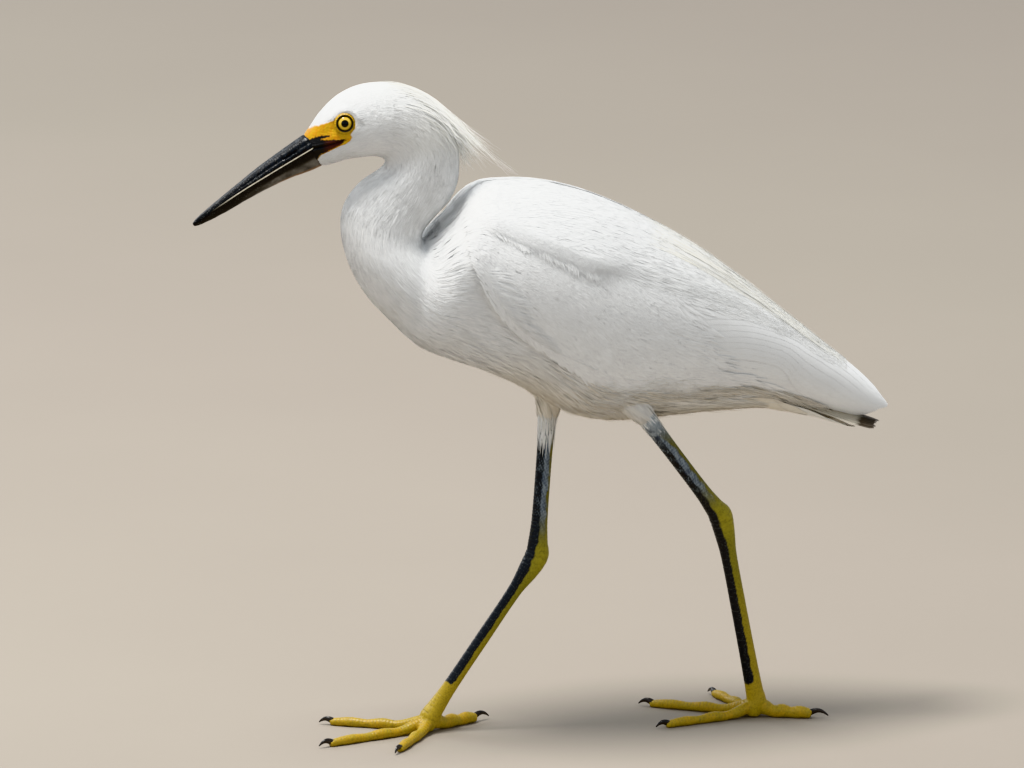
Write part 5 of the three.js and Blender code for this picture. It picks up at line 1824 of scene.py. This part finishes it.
def leg_skin(name, leg):
    """One skin from the hem of the feathers to the claws, with plates in front and small scales behind."""
    limbs = [limb_rings(leg_stations(leg), 0.8, 30)]
    limbs += [limb_rings(toe_stations(leg, toe), 0.8, 22) for toe in leg["toes"]]
    made = remeshed(f"leg_{name}", [loft(rings) for rings, _ in limbs], *LEG_MESH)
    p = positions(made)
    normals = read_vectors(made.data.vertex_normals, "vector")
    found = np.stack([limb_coords(p, path) for _, path in limbs])
    owner = found[:, 2].argmin(0)
    at, turn, _ = np.moveaxis(found[owner, :, np.arange(len(p))], -1, 0)
    toe = owner > 0
    front = np.where(toe, smooth((normals[:, 2] - 0.1) / 0.35), smooth((np.abs(turn) - 2.0) / 0.3))
    start = 0.2 * np.linalg.norm(np.subtract(leg["hem"], leg["knee"]))
    heel_at = start + np.linalg.norm(np.subtract(leg["heel"], leg["hem"]))
    ankle_at = heel_at + np.linalg.norm(np.subtract(leg["ankle"], leg["heel"]))
    tarsus = smooth((at - heel_at - 12) / 6) * smooth((ankle_at - 14 - at) / 6) * ~toe
    size = np.where(toe, TOE_SCUTE, lerp(2.0, SCUTE, tarsus))
    wobble = 0.08 * rough_noise(p, 9, 51) + 0.03 * rough_noise(p, 2, 57)
    bands = smooth((1 - np.abs((at / size + wobble) % 1 - 0.5) * 2) / lerp(0.35, 0.14, tarsus))
    aside = turn * np.where(toe, TOE_RADIUS, leg["tarsus"]) + 0.15 * rough_noise(p, 3, 52)
    scales = plates(aside, at + 0.1 * rough_noise(p, 2, 58), 1.5, 1.25)
    heel = bell(at - heel_at, 9) * ~toe
    ankle = bell(at - ankle_at, 8) * ~toe
    wrinkles = 0.5 + 0.5 * np.sin(at / 0.5 + 2.5 * rough_noise(p, 5, 53))
    plate = lerp(lerp(scales, bands, front), wrinkles, np.clip(0.75 * heel + 0.6 * ankle, 0, 1))
    depth = lerp(0.12, 0.2, front) * lerp(1.0, 1.35, heel) * lerp(1.0, 1.25, toe)
    scaled = np.clip(smooth((at - start) / 10) + toe, 0, 1)
    pads = 0.2 * smooth(-normals[:, 2] - 0.2) * np.sin(at / 1.6) * toe
    relief = (plate - 0.6) * depth * scaled + 0.05 * rough_noise(p, 1.4, 54) + pads
    p = p + normals * relief[:, None]
    p[:, 2] = np.maximum(p[:, 2], 0.05)
    set_positions(made, p)
    marks = {"at": at, "turn": turn, "toe": toe, "heel_at": heel_at, "start": start, "plate": plate}
    set_tint(made, leg_colours(p, leg, marks))
    return made


def toe_colours(p, patch):
    """Golden toes with olive patches, browner where they come near the floor."""
    bright = blend(LEG_GOLD * 0.95, TOE_ORANGE, smooth(0.4 + 0.5 * rough_noise(p, 9, 64)))
    bright = blend(bright, TOE_OLIVE, 0.8 * smooth(0.3 * patch + 0.5 * rough_noise(p, 3, 66)))
    return blend(bright, SOLE_BROWN, 0.6 * smooth((1.4 - p[:, 2]) / 1.4))


def leg_colours(p, leg, marks):
    """Black in front and olive behind down the leg, mottled bluish at its top, golden below the tarsus."""
    at, toe, heel_at, start = marks["at"], marks["toe"], marks["heel_at"], marks["start"]
    patch = rough_noise(p, 7, 61)
    fine = rough_noise(p * [1, 1, 0.35], 2.0, 63)
    grain = rough_noise(p, 1.3, 67)
    forward = -np.cos(marks["turn"])
    lower = smooth((at - heel_at - 10) / 90)
    heel = bell(at - heel_at, 11)
    shank = smooth((heel_at - 6 - at) / 24)
    top = smooth((start + 24 - at) / 22)
    behind = blend(blend(LEG_OLIVE, LEG_GOLD, 0.75 * lower), HEEL_GOLD, 0.6 * heel)
    middle = shank * smooth((forward + 0.8 * (1 - top) + 0.2 * patch + 0.05) / 0.35)
    mottled = blend(LEG_INK * 10, LEG_BLUE * 0.8, smooth(0.5 + 0.35 * fine + 0.45 * grain + 0.2 * patch))
    behind = blend(behind * lerp(1.0, 0.62, shank)[:, None], mottled, np.maximum(middle, 0.9 * top))
    edge = forward + 0.10 * patch + 0.035 * rough_noise(p, 2.2, 62) + 0.10 * fine * shank
    limit = lerp(lerp(0.02, -0.08, lower), 0.12, shank) + 0.3 * heel
    black = smooth((edge - limit) / lerp(0.07, 0.2, np.maximum(shank, heel)))
    streaks = smooth((0.5 * fine + 0.5 * grain - 0.05) / 0.5) * shank
    black = black * (1 - 0.45 * streaks) * (1 - 0.6 * top)
    left = leg["black"] + heel_at - at
    black = black * smooth((left + patch - 5 * smooth(1 - (edge + 0.1) / 0.5)) / 1.2)
    colour = blend(behind, LEG_INK, black)
    pale = lerp(LEG_BLUE, WHITE * 0.8, 0.3)
    colour = blend(colour, pale, 0.75 * smooth((start + 12 - at + 4 * fine) / 16))
    colour = blend(colour, LEG_GOLD, smooth(1 - left / 6) * 0.85 * (1 - black))
    colour = np.where(toe[:, None], toe_colours(p, patch), colour)
    groove = smooth((0.55 - marks["plate"]) / 0.5)
    dark_line = colour * lerp(0.55, 0.35, toe)[:, None]
    line = np.where((black > 0.5)[:, None], LEG_GROOVE, dark_line)
    colour = blend(colour, line, groove * (lerp(0.8, 0.25, shank) + 0.15 * toe))
    return colour * (1 + 0.06 * rough_noise(p, 1.1, 65))[:, None]


def claw(name, leg, toe):
    rings, _ = limb_rings(claw_stations(leg, toe), 0.35, 20)
    made = new_object(f"nail_{toe[0]}_{name}", *loft(rings))
    face_outwards(made)
    p = positions(made)
    p[:, 2] = np.maximum(p[:, 2], 0.08)
    set_positions(made, p)
    streak = smooth(0.5 + 0.5 * rough_noise(p * [1, 1, 4], 2.5, 71))
    set_tint(made, blend(CLAW_BLACK, CLAW_BROWN, streak * 0.6))
    dress(made, claw_material, "claw", f"claw_{toe[0]}_{name}")


def leg_piece(name, leg):
    """The skin of a leg in place of its solids below the thigh, and its claws."""
    replaced = [f"{part}_{name}" for part in ("shank", "tarsus", "foot")]
    replaced += [f"toe_{toe[0]}_{name}" for toe in leg["toes"]]
    dress(leg_skin(name, leg), leg_material, "leg_skin", *replaced)
    for toe in leg["toes"]:
        claw(name, leg, toe)


# Stage, lights and camera.
FLOOR_REACH = 9000
FLOOR_COLOUR = (0.345, 0.305, 0.258)
# What the lights point at, in metres.
LIGHT_TARGET = (0, 0, 0.2)
# The photograph's view: angles, distance in metres, scale, and the frame's own pixels.
CAMERA_AZIMUTH = math.radians(-12)
CAMERA_ELEVATION = math.radians(15)
CAMERA_DISTANCE = 15.0
PIXELS_PER_MM = 1.82
ORIGIN_PIXEL = (540.5, 726.5)
PICTURE_WIDTH = 1024
PICTURE_HEIGHT = 768
SENSOR_WIDTH = 36
CLIP_END = 100


def floor():
    reach = FLOOR_REACH
    corners = [(-reach, -reach, 0), (reach, -reach, 0), (reach, reach, 0), (-reach, reach, 0)]
    made = new_object("floor", corners, [(0, 1, 2, 3)])
    made.data.materials.append(new_material("floor", 0.9, (0.98, 1.02, 3), colour=FLOOR_COLOUR))


def area_light(name, place, size, power_watts, colour):
    light = bpy.data.lights.new(name, "AREA")
    light.shape = "DISK"
    light.size = size
    light.energy = power_watts
    light.color = colour
    made = linked(name, light)
    made.location = place
    made.rotation_euler = (Vector(LIGHT_TARGET) - Vector(place)).to_track_quat("-Z", "Y").to_euler()


def studio():
    world = bpy.data.worlds.new("studio")
    world.use_nodes = True
    background = world.node_tree.nodes["Background"]
    background.inputs["Color"].default_value = (0.90, 0.95, 1.0, 1)
    background.inputs["Strength"].default_value = 0.64
    bpy.context.scene.world = world
    area_light("key", (-0.75, 0.0, 2.9), 1.0, 102, (1.0, 0.975, 0.94))
    area_light("fill", (-2.4, -1.8, 1.6), 1.6, 4, (0.95, 0.97, 1.0))
    area_light("far fill", (-1.7, 2.1, 1.7), 1.6, 24, (0.93, 0.96, 1.0))
    bpy.context.scene.view_settings.view_transform = "Khronos PBR Neutral"


def camera():
    """The photograph's angle, with the origin of the frame at its pixel in the picture."""
    a, e = CAMERA_AZIMUTH, CAMERA_ELEVATION
    right = Vector((math.cos(a), math.sin(a), 0))
    up = Vector((-math.sin(a) * math.sin(e), math.cos(a) * math.sin(e), math.cos(e)))
    back = Vector((math.sin(a) * math.cos(e), -math.cos(a) * math.cos(e), math.sin(e)))
    aim_right = (PICTURE_WIDTH / 2 - ORIGIN_PIXEL[0]) / PIXELS_PER_MM
    aim_up = (ORIGIN_PIXEL[1] - PICTURE_HEIGHT / 2) / PIXELS_PER_MM
    data = bpy.data.cameras.new("camera")
    data.sensor_width = SENSOR_WIDTH
    data.lens = SENSOR_WIDTH * CAMERA_DISTANCE * METRE * PIXELS_PER_MM / PICTURE_WIDTH
    data.clip_end = CLIP_END
    made = linked("camera", data)
    made.location = (right * aim_right + up * aim_up) * MM + back * CAMERA_DISTANCE
    made.rotation_euler = (-back).to_track_quat("-Z", "Y").to_euler()
    bpy.context.scene.camera = made


# The bird and its stage. The order matters, since all pieces draw from one row of random numbers.
skin_coat = Coat(skin_piece())
body_coat(skin_coat)
hem_coat()
for name_of_side, sign in SIDES:
    wing_feathers(name_of_side, sign)
scapulars()
mantle_coat()
fold_coat()
fold_fringe()
shoulder_coat()
covert_coat()
flank_coat()
vent_coat()
tail()
undertail()
back_plumes()
crest()
bill_half("bill_upper", 1)
bill_half("bill_lower", -1)
for name_of_side, sign in SIDES:
    eyeball(name_of_side, sign)
    lids(name_of_side, sign)
for name_of_side, bones in LEGS.items():
    leg_piece(name_of_side, bones)
floor()
studio()
camera()

bpy.context.view_layer.update()
